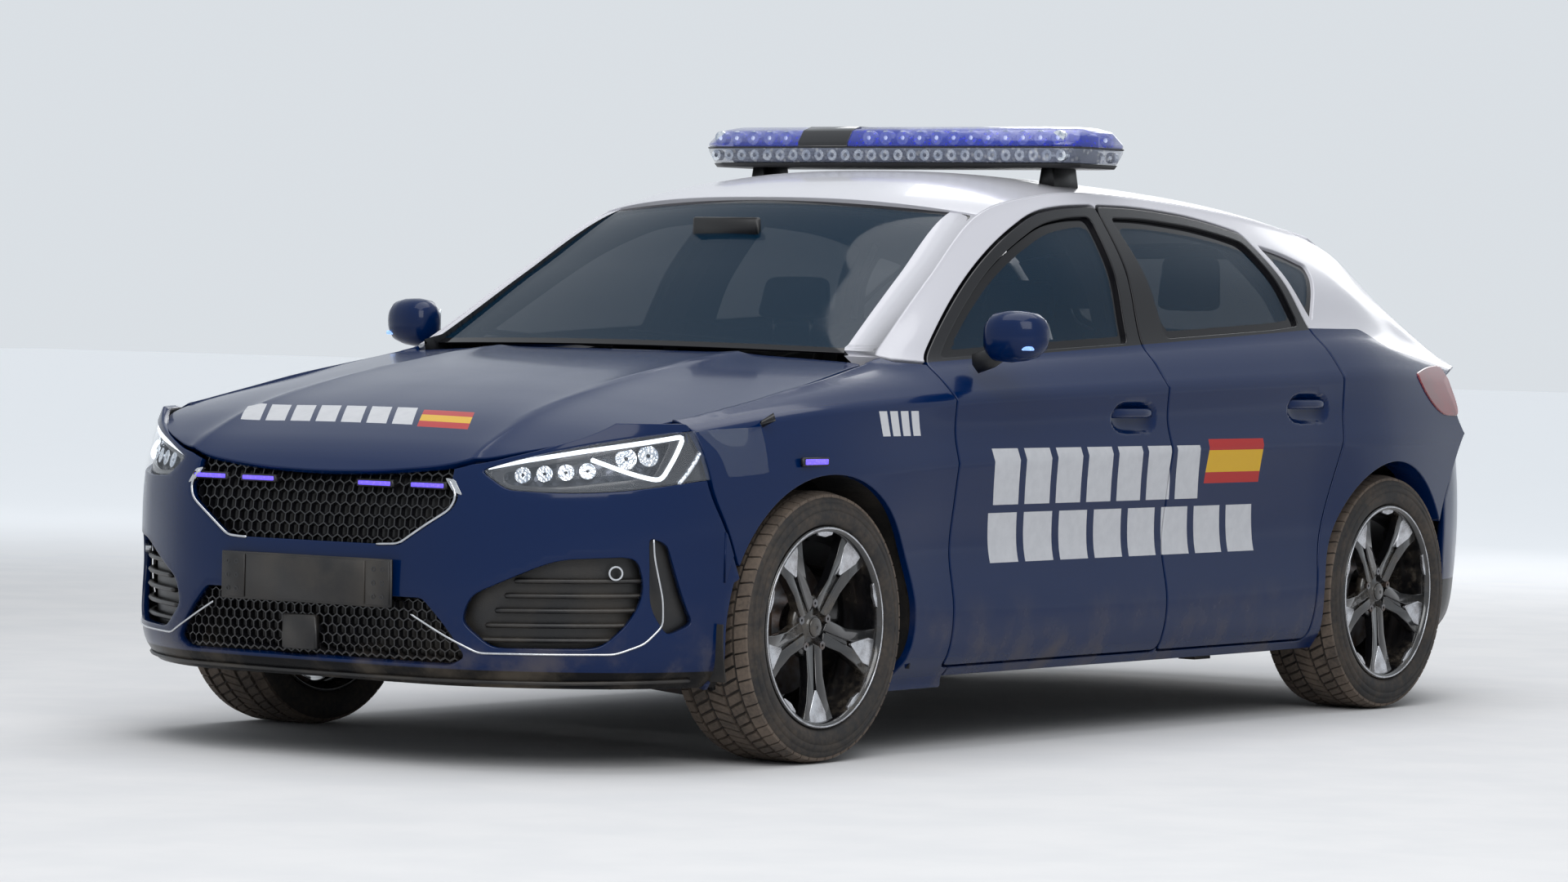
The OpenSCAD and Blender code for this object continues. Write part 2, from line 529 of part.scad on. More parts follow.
// ---- underbody and inside ----
floor_base = fit_z(178);
floor_top = fit_z(215);
seat_floor = fit_z(300);
boot_floor = fit_z(400);
tunnel_half = 80;
tunnel_top = floor_base + 95;
module floor_pan() {
    color("dimgray") one_mesh() difference() {
        union() {
            block([-2085, -1080], [-560, 560], [boot_floor, boot_floor + 25]);
            block([-1100, -1070], [-560, 560], [seat_floor, boot_floor + 25]);
            block([-1100, -670], [-620, 620], [seat_floor, seat_floor + 30]);
            block([-990, -670], [-sill_inner, sill_inner], [seat_floor, seat_floor + 30]);
            block([-700, -670], [-sill_inner, sill_inner], [floor_base, seat_floor + 30]);
            block([-700, 880], [-sill_inner, sill_inner], [floor_base, floor_top]);
            block([-700, 860], [-110, 110], [floor_base, floor_base + 130]);
            // Rear panel below the tailgate, with the tailgate's stops.
            block([-2085, -2060], [-560, 560], [fit_z(330), fit_z(640)]);
            for (y = [-330, 330]) block([-2160, -2070], [y - 25, y + 25], [fit_z(600), fit_z(700)]);
            for (x = [-620, 700], y = [-705, 705])
                translate([fit_x(x) - 40, fit_y(y) - 25, floor_base - 18]) cube([80, 50, 30]);
        }
        translate([fit_x(-1130), -tunnel_half, floor_base - 60])
            cube([fit_x(900) - fit_x(-1130), tunnel_half * 2, tunnel_top - floor_base + 60]);
        outside_tail(skin_wall);
    }
}
rail_top = fit_z(470);
module bulkhead() {
    color("dimgray") one_mesh() difference() {
        union() {
            // Wall between engine bay and cabin, with the scuttle above it and the strut towers ahead of it.
            block([880, 910], [-700, 700], [floor_top, fit_z(900)]);
            block([880, 980], [-690, 690], [fit_z(880), fit_z(905)]);
            both_sides() {
                block([900, 1969], [380, 450], [fit_z(360), rail_top]);
                block([900, 1750], [380, 388], [rail_top, fit_z(780)]);
                translate([front_axle - 130, fit_y(380), strut_top_z]) cube([260, fit_y(290), 25]);
                translate([front_axle - 130, fit_y(380), fit_z(700)]) cube([8, fit_y(290), strut_top_z - fit_z(700)]);
                translate([front_axle + 122, fit_y(380), fit_z(700)]) cube([8, fit_y(290), strut_top_z - fit_z(700)]);
                // Bonnet stop.
                translate([fit_x(1990), fit_y(300), rail_top - 1]) cylinder(r = 16, h = 400);
            }
            block([1959, 2019], [-560, 560], [fit_z(360), rail_top]);
            // Carrier of the bumper cover.
            block([2010, 2190], [-200, 200], [fit_z(425), rail_top]);
        }
        translate([0, -tunnel_half, 0]) cube([fit_x(940), tunnel_half * 2, tunnel_top]);
        shell(bonnet_grid(), margin + 300 + skin_wall + seat_gap, -margin - 300);
        outside_nose(skin_wall);
        both_sides() outside_side(skin_wall + 60, 700, 980);
    }
}
liner_wall = 6;
liner_foot = 270;
front_liner = arch_radius + 28;
module arch_liners() {
    color("black") for (s = [0, 1]) mirror([0, s, 0]) {
        one_mesh() difference() {
            translate([front_axle, fit_y(690), tyre_radius]) rotate([-90, 0, 0]) difference() {
                cylinder(r = front_liner + liner_wall, h = fit_y(200), $fn = 40);
                translate([0, 0, -1]) cylinder(r = front_liner, h = fit_y(300), $fn = 40);
            }
            translate([front_axle - 600, 0, -500]) cube([1200, 2000, 500 + fit_z(liner_foot)]);
            outside_side(skin_wall, 640, 1900);
            outside_nose(skin_wall);
            block([700, 940], [600, 900], [0, 1000]);
        }
        one_mesh() difference() {
            translate([rear_axle, fit_y(590), tyre_radius]) rotate([-90, 0, 0]) difference() {
                cylinder(r = arch_radius + liner_wall, h = fit_y(300), $fn = 40);
                translate([0, 0, liner_wall]) cylinder(r = arch_radius, h = fit_y(400), $fn = 40);
                translate([0, 0, -1]) cylinder(r = 75, h = 20);
            }
            translate([rear_axle - 600, 0, -500]) cube([1200, 2000, 500 + fit_z(liner_foot + 65)]);
            outside_side(door_wall, -2000, -800);
            outside_tail(skin_wall);
        }
    }
}
engine_foot = 225;
module engine_block() {
    color("darkgray") translate([fit_x(1180), -330, engine_foot])
        cube([fit_x(1640) - fit_x(1180), 660, 470]);
}
// The steering axis runs from the ball joint of the lower arm to the top of the damper.
strut_low = [front_axle, track / 2 - 62, 190];
strut_top_z = fit_z(800);
strut_top = [front_axle, track / 2 - 205, strut_top_z];
strut_length = norm(strut_top - strut_low);
steer_lean = atan2(strut_low[1] - strut_top[1], strut_top[2] - strut_low[2]);
stub_radius = 22;
stub_clear = 0.2;
ball_radius = 8;
module front_subframe() {
    // The lower arm stays under the brake disc.
    arm_top = tyre_radius - disc_radius - clear - 3;
    arm_wall = 26;
    arm_y = strut_low[1] + 3;
    plate_top = exhaust_z - 27 - seat_gap;
    color("gray") {
        translate([front_axle - 210, -330, 150]) cube([330, 660, plate_top - 150]);
        for (y = [-250, 70])
            translate([front_axle - 130, y, plate_top - 1]) cube([240, 180, engine_foot - seat_gap - plate_top + 1]);
        both_sides() {
            translate([front_axle - 190, 300, 170]) cube([80, 150, 40]);
            translate([front_axle - 190, 384, 170]) cube([60, 60, fit_z(360) - seat_gap - 170]);
            translate([front_axle + 60, 300, 170]) cube([60, 150, 40]);
            translate([front_axle + 60, 384, 170]) cube([60, 60, fit_z(360) - seat_gap - 170]);
            hull() {
                translate([front_axle - 180, 320, 168]) cylinder(r = 28, h = 30);
                translate([front_axle, arm_y, arm_top - arm_wall]) cylinder(r = 24, h = arm_wall);
            }
            hull() {
                translate([front_axle + 90, 320, 168]) cylinder(r = 22, h = 30);
                translate([front_axle, arm_y, arm_top - arm_wall]) cylinder(r = 24, h = arm_wall);
            }
            translate(strut_low) rotate([steer_lean, 0, 0]) translate([0, 0, -50]) cylinder(r = ball_radius, h = 55);
        }
    }
}
module rear_axle_beam() {
    inner = 594;
    color("gray") {
        translate([rear_axle + 120, -fit_y(580), 250]) cube([100, fit_y(1160), 60]);
        both_sides() {
            translate([rear_axle - 40, fit_y(530), tyre_radius - 90]) cube([380, 55, 60]);
            translate([rear_axle + 300, fit_y(530), 240]) cube([90, 55, seat_floor - seat_gap - 240]);
            translate([rear_axle - 60, fit_y(530), tyre_radius - 70]) cube([120, 55, 130]);
            translate([rear_axle, fit_y(560), tyre_radius]) rotate([-90, 0, 0])
                cylinder(r = 55, h = track / 2 - 62 - fit_y(560));
            translate([rear_axle, fit_y(560), tyre_radius]) rotate([-90, 0, 0])
                cylinder(r = stub_radius, h = track / 2 + stub_reach - fit_y(560));
        }
    }
}
stub_reach = 70;
module fuel_tank() {
    color("black") block([-1080, -706], [-520, -80], [floor_base, seat_floor]);
}
exhaust_y = 20;
exhaust_z = 215;
module exhaust() {
    color("silver") {
        translate([fit_x(1180) - seat_gap, exhaust_y, exhaust_z]) rotate([0, -90, 0])
            cylinder(r = 27, h = fit_x(1180) - fit_x(-1800));
        block([-1960, -1780], [-430, 240], [200, 285]);
        for (y = [-330, 140]) translate([fit_x(-1870), y, 280]) cylinder(r = 10, h = boot_floor - seat_gap - 280);
        translate([fit_x(-2040), -300, 235]) rotate([0, 90, 0]) cylinder(r = 24, h = fit_x(-1950) - fit_x(-2040));
    }
}
module seat(width) {
    hull() {
        translate([0, -width / 2, 0]) cube([60, width, 110]);
        translate([470, -width / 2 + 20, 20]) cube([40, width - 40, 120]);
    }
    hull() {
        translate([-30, -width / 2, 60]) cube([120, width, 60]);
        translate([-210, -width / 2 + 40, 620]) cube([70, width - 80, 30]);
    }
}
module headrest(width) {
    hull() {
        translate([-245, -width / 2, 680]) cube([80, width, 60]);
        translate([-250, -width / 2 + 20, 830]) cube([70, width - 40, 10]);
    }
    for (y = [-45, 45]) translate([-190, y, 600]) cylinder(r = 6, h = 120);
}
seat_base = floor_top + 130;
module front_seats() {
    color("black") both_sides() translate([fit_x(-60), fit_y(365), 0]) {
        translate([0, 0, seat_base]) {
            seat(500);
            headrest(250);
        }
        translate([60, -200, floor_top + 0.3]) cube([360, 400, 150]);
    }
}
module rear_seat() {
    color("black") translate([fit_x(-930), 0, seat_floor + 30]) {
        translate([0, -fit_y(620), 0]) cube([430, fit_y(1240), 190]);
        translate([0, 0, 130]) {
            hull() {
                translate([0, -fit_y(620), 40]) cube([100, fit_y(1240), 60]);
                translate([-170, -fit_y(560), 560]) cube([70, fit_y(1120), 30]);
            }
            for (y = [-380, 0, 380]) translate([55, y, -20]) headrest(230);
        }
    }
}
shaft_radius = 12;
wheel_hub = [fit_x(420), fit_y(365), fit_z(875)];
column_tilt = 114;
module dashboard() {
    color("black") {
        hull() {
            block([560, 620], [-690, 690], [fit_z(700), fit_z(890)]);
            block([800, 880], [-680, 680], [fit_z(760), fit_z(878)]);
            block([700, 800], [-680, 680], [fit_z(600), fit_z(700)]);
        }
        block([60, 720], [-90, 90], [floor_base + 130, floor_base + 360]);
        // Column that carries the steering wheel.
        translate(wheel_hub) rotate([0, column_tilt, 0]) {
            translate([0, 0, 27]) cylinder(r = 30, h = 190);
            cylinder(r = shaft_radius, h = 60);
        }
    }
}
module steering_wheel() {
    color("black") translate(wheel_hub) rotate([0, column_tilt, 0]) {
        rotate_extrude() translate([172, 0]) circle(r = 14);
        difference() {
            translate([0, 0, -18]) cylinder(r = 55, h = 40);
            translate([0, 0, -1]) cylinder(r = shaft_radius + 0.1, h = 60);
        }
        for (a = [90, 210, 330]) rotate([0, 0, a]) translate([40, -16, -6]) cube([125, 32, 12]);
    }
}

// ---- wheels, knuckles ----
bead_in = 30;
tyre_shoulder = 26;
module tyre_profile() {
    w = tyre_width / 2;
    polygon(concat([[bead_radius, -w + bead_in], [bead_radius + 17, -w + bead_in - 14], [bead_radius + 45, -w + 2]],
        [for (a = [180:-15:90]) [tyre_radius - tyre_shoulder * (1 - sin(a)), -w + tyre_shoulder * (1 + cos(a))]],
        [for (a = [90:-15:0]) [tyre_radius - tyre_shoulder * (1 - sin(a)), w - tyre_shoulder * (1 - cos(a))]],
        [[bead_radius + 45, w - 2], [bead_radius + 17, w - bead_in + 14], [bead_radius, w - bead_in]]));
}
module on_axle(x, side) {
    translate([x, 0, tyre_radius]) mirror([0, side < 0 ? 1 : 0, 0]) translate([0, track / 2, 0])
        rotate([-90, 0, 0]) children();
}
module tyre(x, side) {
    color("black") on_axle(x, side) rotate_extrude($fn = 96) tyre_profile();
}
disc_radius = 165;
disc_in = -35;
disc_wall = 25;
spoke_in = 50;
bolt_circle = 56;
module wheel(x, side) {
    w = tyre_width / 2;
    flange = [[bead_radius - 0.4, bead_in - 0.6], [bead_radius + 16.6, bead_in - 14.6], [bead_radius + 16.6, 7],
        [bead_radius - 14, 6]];
    color("dimgray") on_axle(x, side) difference() {
        union() {
            // Barrel with both flanges.
            rotate_extrude($fn = 96) polygon(concat(
                [for (p = flange) [p[0], p[1] - w]], [[bead_radius - 22, 0]],
                [for (i = [3:-1:0]) [flange[i][0], w - flange[i][1]]],
                [[bead_radius - 7, w - 44], [bead_radius - 7, -w + 44]]));
            translate([0, 0, w - 62]) cylinder(r = 74, h = 34);
            for (i = [0:4]) rotate([0, 0, i * 72 + 90]) translate([0, 0, w - spoke_in]) linear_extrude(26)
                polygon([[20, -34], [bead_radius - 12, -46], [bead_radius - 12, -14], [120, 0],
                    [bead_radius - 12, 14], [bead_radius - 12, 46], [20, 34]]);
            // Brake disc and its bell, bolted to the wheel's hub.
            translate([0, 0, disc_in]) cylinder(r = 85, h = w - 60 - disc_in);
            translate([0, 0, disc_in]) cylinder(r = disc_radius, h = disc_wall);
        }
        translate([0, 0, disc_in - 10]) cylinder(r = stub_radius + stub_clear, h = stub_reach + 2 - disc_in + 10);
        for (i = [0:bolt_count - 1]) rotate([0, 0, i * 360 / bolt_count + 54]) translate([bolt_circle, 0, w - 38])
            cylinder(r = 7, h = 40);
    }
}
clear = 5;
module knuckle(side) {
    slot_in = track / 2 + disc_in - clear;
    slot_out = track / 2 + disc_in + disc_wall + clear;
    color("gray") mirror([0, side < 0 ? 1 : 0, 0]) {
        // Stub axle, its carrier, the damper leg with its spring, and the brake caliper.
        translate([front_axle, track / 2 + stub_reach, tyre_radius]) rotate([90, 0, 0])
            cylinder(r = stub_radius, h = stub_reach + 130);
        translate([front_axle, track / 2 - 60, tyre_radius]) rotate([90, 0, 0]) cylinder(r = 58, h = 44);
        difference() {
            translate(strut_low) rotate([steer_lean, 0, 0]) {
                translate([0, 0, -14]) cylinder(r = 20, h = 60);
                cylinder(r = 26, h = 480);
                translate([0, 0, 500]) cylinder(r = 52, h = strut_length - 525);
                cylinder(r = 12, h = strut_length - 9);
            }
            translate(strut_low) rotate([steer_lean, 0, 0]) translate([0, 0, -40])
                cylinder(r = ball_radius + 0.1, h = 46);
        }
        translate([front_axle, slot_in - 36, tyre_radius - 45]) cube([110, 30, 90]);
        difference() {
            translate([front_axle + 96, slot_in - 30, tyre_radius - 70])
                cube([92, slot_out + 26 - slot_in + 30, 140]);
            translate([front_axle + 90, slot_in, tyre_radius - 80])
                cube([disc_radius + clear - 90, slot_out - slot_in, 160]);
        }
    }
}

// ---- lights and fittings ----
bar_x = -265;
bar_base_z = fit_z(1456);
module lightbar_base() {
    color("black") one_mesh() difference() {
        union() {
            translate([fit_x(bar_x) - bar_depth / 2 + 40, -bar_width / 2 + 60, bar_base_z])
                cube([bar_depth - 80, bar_width - 120, 12]);
            for (x = [-80, 80], y = [-1, 1]) hull() {
                translate([fit_x(bar_x) + x - 20, y * fit_y(430) - 22, bar_base_z - 1]) cube([40, 44, 4]);
                translate([fit_x(bar_x) + x - 28, y * fit_y(440) - 28, bar_base_z - 64]) cube([56, 56, 6]);
            }
        }
        shell(roof_grid(), roof_wall * 2 + margin, -seat_gap);
    }
}
module lightbar_lens() {
    z = bar_base_z + 12;
    color("royalblue") hull() {
        for (x = [-1, 1], y = [-1, 1]) {
            translate([fit_x(bar_x) + x * (bar_depth / 2 - 60), y * (bar_width / 2 - 60), z]) cylinder(r = 45, h = 4);
            translate([fit_x(bar_x) + x * (bar_depth / 2 - 60), y * (bar_width / 2 - 60), z + 34]) cylinder(r = 60, h = 14);
            translate([fit_x(bar_x) + x * (bar_depth / 2 - 90), y * (bar_width / 2 - 120), z + bar_height - 16])
                cylinder(r = 60, h = 4);
        }
    }
}
plate_wall = 11.7;
plate_z = 424;
module plate_holder() {
    color("dimgray") difference() {
        translate([nose_x - plate_wall, -260, fit_z(plate_z) - 56]) cube([plate_wall, 520, 112]);
        for (y = [-210, 210]) translate([nose_x - 30, y, fit_z(plate_z)]) rotate([0, 90, 0]) cylinder(r = 3.5, h = 60);
    }
}
module warning_lights() {
    color("blue") {
        one_mesh() intersection() {
            shell(nose_grid(), skin_wall - 4, 4);
            for (y = [-300, -110, 110, 300]) block([2000, 2199], [y - 62, y + 62], [fit_z(640), fit_z(656)]);
        }
        both_sides() one_mesh() difference() {
            block([1355, 1455], [840, 895], [fit_z(708), fit_z(726)]);
            side_wall(1200, 1600, 100, -seat_gap);
        }
    }
}

// ---- assembly ----
body_side();  // body_side_left
mirror([0, 1, 0]) body_side();  // body_side_right
roof_panel();
floor_pan();
bulkhead();
arch_liners();
both_sides() front_wing();  // front_wings
front_bumper();
front_grilles();
plate_holder();
headlamps();
rear_bumper();
tail_lamps();
windscreen();
both_sides() quarter_glass();
engine_block();
front_subframe();
rear_axle_beam();  // rear_axle
fuel_tank();
exhaust();
dashboard();
front_seats();
rear_seat();
steering_wheel();
lightbar_base();
lightbar_lens();
warning_lights();
bonnet();
tailgate();
tailgate_glass();
door(front_door_line, front_window_line, -10, 812);  // door_front_left
mirror([0, 1, 0]) door(front_door_line, front_window_line, -10, 812);  // door_front_right
door(rear_door_line, rear_window_line, -890, 832);  // door_rear_left
mirror([0, 1, 0]) door(rear_door_line, rear_window_line, -890, 832);  // door_rear_right
door_glass(front_door_line, front_window_line);  // door_glass_front_left
mirror([0, 1, 0]) door_glass(front_door_line, front_window_line);  // door_glass_front_right
door_glass(rear_door_line, rear_window_line);  // door_glass_rear_left
mirror([0, 1, 0]) door_glass(rear_door_line, rear_window_line);  // door_glass_rear_right
mirror_unit();  // mirror_left
mirror([0, 1, 0]) mirror_unit();  // mirror_right
knuckle(1);  // knuckle_left
knuckle(-1);  // knuckle_right
tyre(front_axle, 1);  // tyre_front_left
tyre(front_axle, -1);  // tyre_front_right
tyre(rear_axle, 1);  // tyre_rear_left
tyre(rear_axle, -1);  // tyre_rear_right
wheel(front_axle, 1);  // wheel_front_left
wheel(front_axle, -1);  // wheel_front_right
wheel(rear_axle, 1);  // wheel_rear_left
wheel(rear_axle, -1);  // wheel_rear_right
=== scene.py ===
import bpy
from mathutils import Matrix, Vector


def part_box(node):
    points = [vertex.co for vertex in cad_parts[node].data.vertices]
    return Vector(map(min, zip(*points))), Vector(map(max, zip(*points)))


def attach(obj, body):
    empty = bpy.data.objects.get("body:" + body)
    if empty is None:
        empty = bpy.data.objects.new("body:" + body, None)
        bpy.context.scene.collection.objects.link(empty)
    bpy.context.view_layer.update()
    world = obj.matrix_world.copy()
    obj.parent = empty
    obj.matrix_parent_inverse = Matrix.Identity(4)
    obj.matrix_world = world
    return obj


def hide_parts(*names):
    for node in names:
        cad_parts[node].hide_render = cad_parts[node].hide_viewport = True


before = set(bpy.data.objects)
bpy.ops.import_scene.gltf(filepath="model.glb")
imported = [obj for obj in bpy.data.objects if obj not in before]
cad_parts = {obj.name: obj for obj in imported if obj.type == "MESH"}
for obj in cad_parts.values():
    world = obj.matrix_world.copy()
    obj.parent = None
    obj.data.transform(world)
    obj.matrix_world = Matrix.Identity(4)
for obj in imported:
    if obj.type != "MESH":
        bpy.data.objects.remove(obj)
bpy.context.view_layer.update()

import math

import bpy
import numpy as np
from mathutils import Matrix, Vector, kdtree
from mathutils.geometry import delaunay_2d_cdt

# ---- Body side ----
# The fixed side of the shell on the left and right: sill, pillars, roof rail and rear quarter,
# pressed from sheet steel and spot-welded, painted dark blue below the waist and white above it.


def along(stations, values, t, crisp=()):
    """Values at t on a smooth curve through stations in rising order; it keeps a corner at the crisp ones."""
    stations = np.asarray(stations, float)
    values = np.asarray(values, float)
    t = np.asarray(t, float)
    if stations.ndim == 1:
        stations = np.repeat(stations[:, None], t.size, 1)
        values = np.repeat(values[:, None], t.size, 1)
    last = len(stations) - 1
    i = np.clip((stations[1:-1] <= t).sum(0), 0, last - 1)[None]

    def pick(table, index):
        return np.take_along_axis(table, np.clip(index, 0, last), 0)[0]

    def slope(index, towards):
        low, high = np.clip(index - 1, 0, last), np.clip(index + 1, 0, last)
        low = np.where(np.isin(index, crisp) & (towards > 0), index, low)
        high = np.where(np.isin(index, crisp) & (towards < 0), index, high)
        return (pick(values, high) - pick(values, low)) / (pick(stations, high) - pick(stations, low))

    width = pick(stations, i + 1) - pick(stations, i)
    s = np.clip((t - pick(stations, i)) / width, 0, 1)
    return (pick(values, i) * (2 * s**3 - 3 * s**2 + 1) + slope(i, 1) * width * (s**3 - 2 * s**2 + s)
            + pick(values, i + 1) * (3 * s**2 - 2 * s**3) + slope(i + 1, -1) * width * (s**3 - s**2))


# Lines along the side from the sill to the roof rail, in millimetres: [x, y, z] from tail to nose.
side_lines = [np.array(line, float) for line in (
    [[-2000, 770, 190], [-1355, 820, 178], [800, 822, 178], [1331, 820, 178], [1900, 790, 190]],
    [[-2000, 800, 250], [-1355, 874, 240], [-900, 868, 238], [0, 866, 238], [800, 868, 238], [1331, 874, 240],
     [1900, 826, 250]],
    [[-2000, 806, 350], [-1355, 890, 350], [-900, 884, 345], [0, 882, 340], [800, 884, 345], [1331, 890, 350],
     [1900, 834, 350]],
    [[-2000, 812, 490], [-1355, 896, 490], [-900, 870, 490], [0, 862, 480], [800, 866, 490], [1331, 892, 490],
     [1900, 834, 480]],
    [[-2000, 808, 620], [-1355, 898, 610], [-900, 880, 640], [0, 880, 630], [800, 880, 620], [1331, 897, 600],
     [1900, 830, 600]],
    [[-2000, 800, 755], [-1355, 899, 748], [-900, 894, 742], [0, 897, 724], [800, 892, 704], [1331, 896, 690],
     [1900, 820, 680]],
    [[-2000, 790, 830], [-1355, 882, 828], [-900, 880, 820], [0, 881, 800], [800, 877, 780], [1331, 884, 765],
     [1900, 806, 730]],
    [[-2000, 752, 900], [-1355, 868, 925], [-900, 885, 910], [0, 889, 886], [800, 882, 862], [1331, 868, 838],
     [1900, 784, 770]],
    [[-2000, 722, 935], [-1355, 815, 995], [-900, 838, 980], [0, 840, 948], [800, 826, 915], [1331, 820, 868],
     [1900, 760, 785]],
    [[-2000, 690, 955], [-1700, 722, 1000], [-1355, 762, 1048], [-900, 788, 1036], [0, 797, 992],
     [800, 778, 953],
     [950, 768, 935], [1331, 785, 881], [1900, 742, 792]],
    [[-2000, 665, 965], [-1700, 640, 1100], [-1355, 686, 1170], [-900, 716, 1190], [0, 716, 1190],
     [400, 704, 1135],
     [800, 734, 1005], [950, 744, 946], [1331, 776, 885], [1900, 735, 795]],
    [[-2000, 640, 972], [-1850, 590, 1075], [-1700, 560, 1180], [-1550, 545, 1262], [-1300, 552, 1318],
     [-900, 562, 1362], [-300, 572, 1392], [0, 577, 1380], [306, 596, 1322], [600, 652, 1160],
     [919, 712, 968],
     [950, 728, 953], [1331, 768, 889], [1900, 728, 798]])]
CREASES = (5, 7)
SECTION_X = np.arange(-2060, 1961, 4.0)
SECTION = np.array([[along(line[:, 0], line[:, 2], SECTION_X), along(line[:, 0], line[:, 1], SECTION_X)]
                    for line in side_lines])


def side_section(x):
    """Heights and half widths of the lines at each x."""
    return tuple(np.array([np.interp(x, SECTION_X, row) for row in SECTION[:, k]]) for k in (0, 1))


def pairs(a, b):
    """Points from two rows of coordinates; one of them may be a single number."""
    return np.column_stack(np.broadcast_arrays(a, b))


def side_y(x, z):
    x, z = np.broadcast_arrays(np.atleast_1d(x).astype(float), z)
    heights, widths = side_section(x)
    return along(heights, widths, z, CREASES)


def side(p):
    """The outer surface of the left side over points [x, z]."""
    return np.column_stack([p[:, 0], side_y(p[:, 0], p[:, 1]), p[:, 1]])


def rail_at(x):
    line = side_lines[-1]
    return np.column_stack([x, along(line[:, 0], line[:, 1], x), along(line[:, 0], line[:, 2], x)])


def side_grid(step=17):
    """Points over the side that run with its lines."""
    x = np.arange(-2000, 1901, step, dtype=float)
    heights = side_section(x)[0]
    rows = []
    for low, high in zip(heights[:-1], heights[1:]):
        count = max(1, int(round(np.median(high - low) / step)))
        rows += [low + (high - low) * k / count for k in range(count)]
    rows.append(heights[-1])
    return np.vstack([np.column_stack([x, row]) for row in rows])


def plain_grid(a, b, step=16):
    """Points at an even pitch over the box from corner a to corner b."""
    x, y = np.meshgrid(np.arange(a[0] + step / 2, b[0], step), np.arange(a[1] + step / 2, b[1], step))
    return np.column_stack([x.ravel(), y.ravel()]).astype(float)


def inside(loop, p):
    """Which points lie inside a closed outline."""
    result = np.zeros(len(p), bool)
    for (ax, ay), (bx, by) in zip(loop, np.roll(loop, -1, 0)):
        if ay != by:
            crosses = (ay > p[:, 1]) != (by > p[:, 1])
            result ^= crosses & (p[:, 0] < (bx - ax) * (p[:, 1] - ay) / (by - ay) + ax)
    return result


def curved(outline, radius=30, step=12):
    """An outline with its corners rounded and its points close together, counterclockwise."""
    outline = np.array(outline, float)
    points = []
    for before, corner, after in zip(np.roll(outline, 1, 0), outline, np.roll(outline, -1, 0)):
        a, b = before - corner, after - corner
        la, lb = np.linalg.norm(a), np.linalg.norm(b)
        turn = math.degrees(math.acos(np.clip(-a @ b / la / lb, -1, 1)))
        reach = min(la, lb) * 0.5 if turn < 28 else min(radius, la * 0.48, lb * 0.48)
        start, end = corner + a / la * reach, corner + b / lb * reach
        for s in np.linspace(0, 1, max(2, int(reach * 2 / step) + 1)):
            points.append(start * (1 - s) ** 2 + corner * 2 * s * (1 - s) + end * s**2)
    points = np.array(points)
    points = points[np.linalg.norm(points - np.roll(points, 1, 0), axis=1) > 0.5]
    even = []
    for a, b in zip(points, np.roll(points, -1, 0)):
        count = max(1, int(np.linalg.norm(b - a) / step + 0.5))
        even += [a + (b - a) * k / count for k in range(count)]
    even = np.array(even)
    area = np.sum(even[:, 0] * np.roll(even[:, 1], -1) - np.roll(even[:, 0], -1) * even[:, 1])
    return even if area > 0 else even[::-1]


def outward(loop):
    """The direction away from a counterclockwise outline at each of its points, longer at corners."""
    ahead = np.roll(loop, -1, 0) - loop
    ahead /= np.linalg.norm(ahead, axis=1)[:, None] + 1e-9
    out = np.column_stack([ahead[:, 1], -ahead[:, 0]])
    both = out + np.roll(out, 1, 0)
    return both / np.maximum((both**2).sum(1) / 2, 0.9)[:, None]


def grown(loop, distance):
    return loop + outward(loop) * distance


def normals_of(surface, p):
    """Outward unit normals of a surface over domain points, softened over a few millimetres."""
    reach = 6.0
    across = surface(p + [reach, 0]) - surface(p - [reach, 0])
    up = surface(p + [0, reach]) - surface(p - [0, reach])
    normal = np.cross(up, across)
    return normal / (np.linalg.norm(normal, axis=1)[:, None] + 1e-9)


def linked(name, mesh):
    """An object of a finished mesh, linked to the scene."""
    piece = bpy.data.objects.new(name, mesh)
    bpy.context.scene.collection.objects.link(piece)
    return piece


def fitted(piece, body="body", node=None, slot=None):
    """Puts a piece on a body. It may stand for a node of the CAD, which it hides. The slot is not used."""
    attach(piece, body)
    if node:
        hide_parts(node)
    return piece


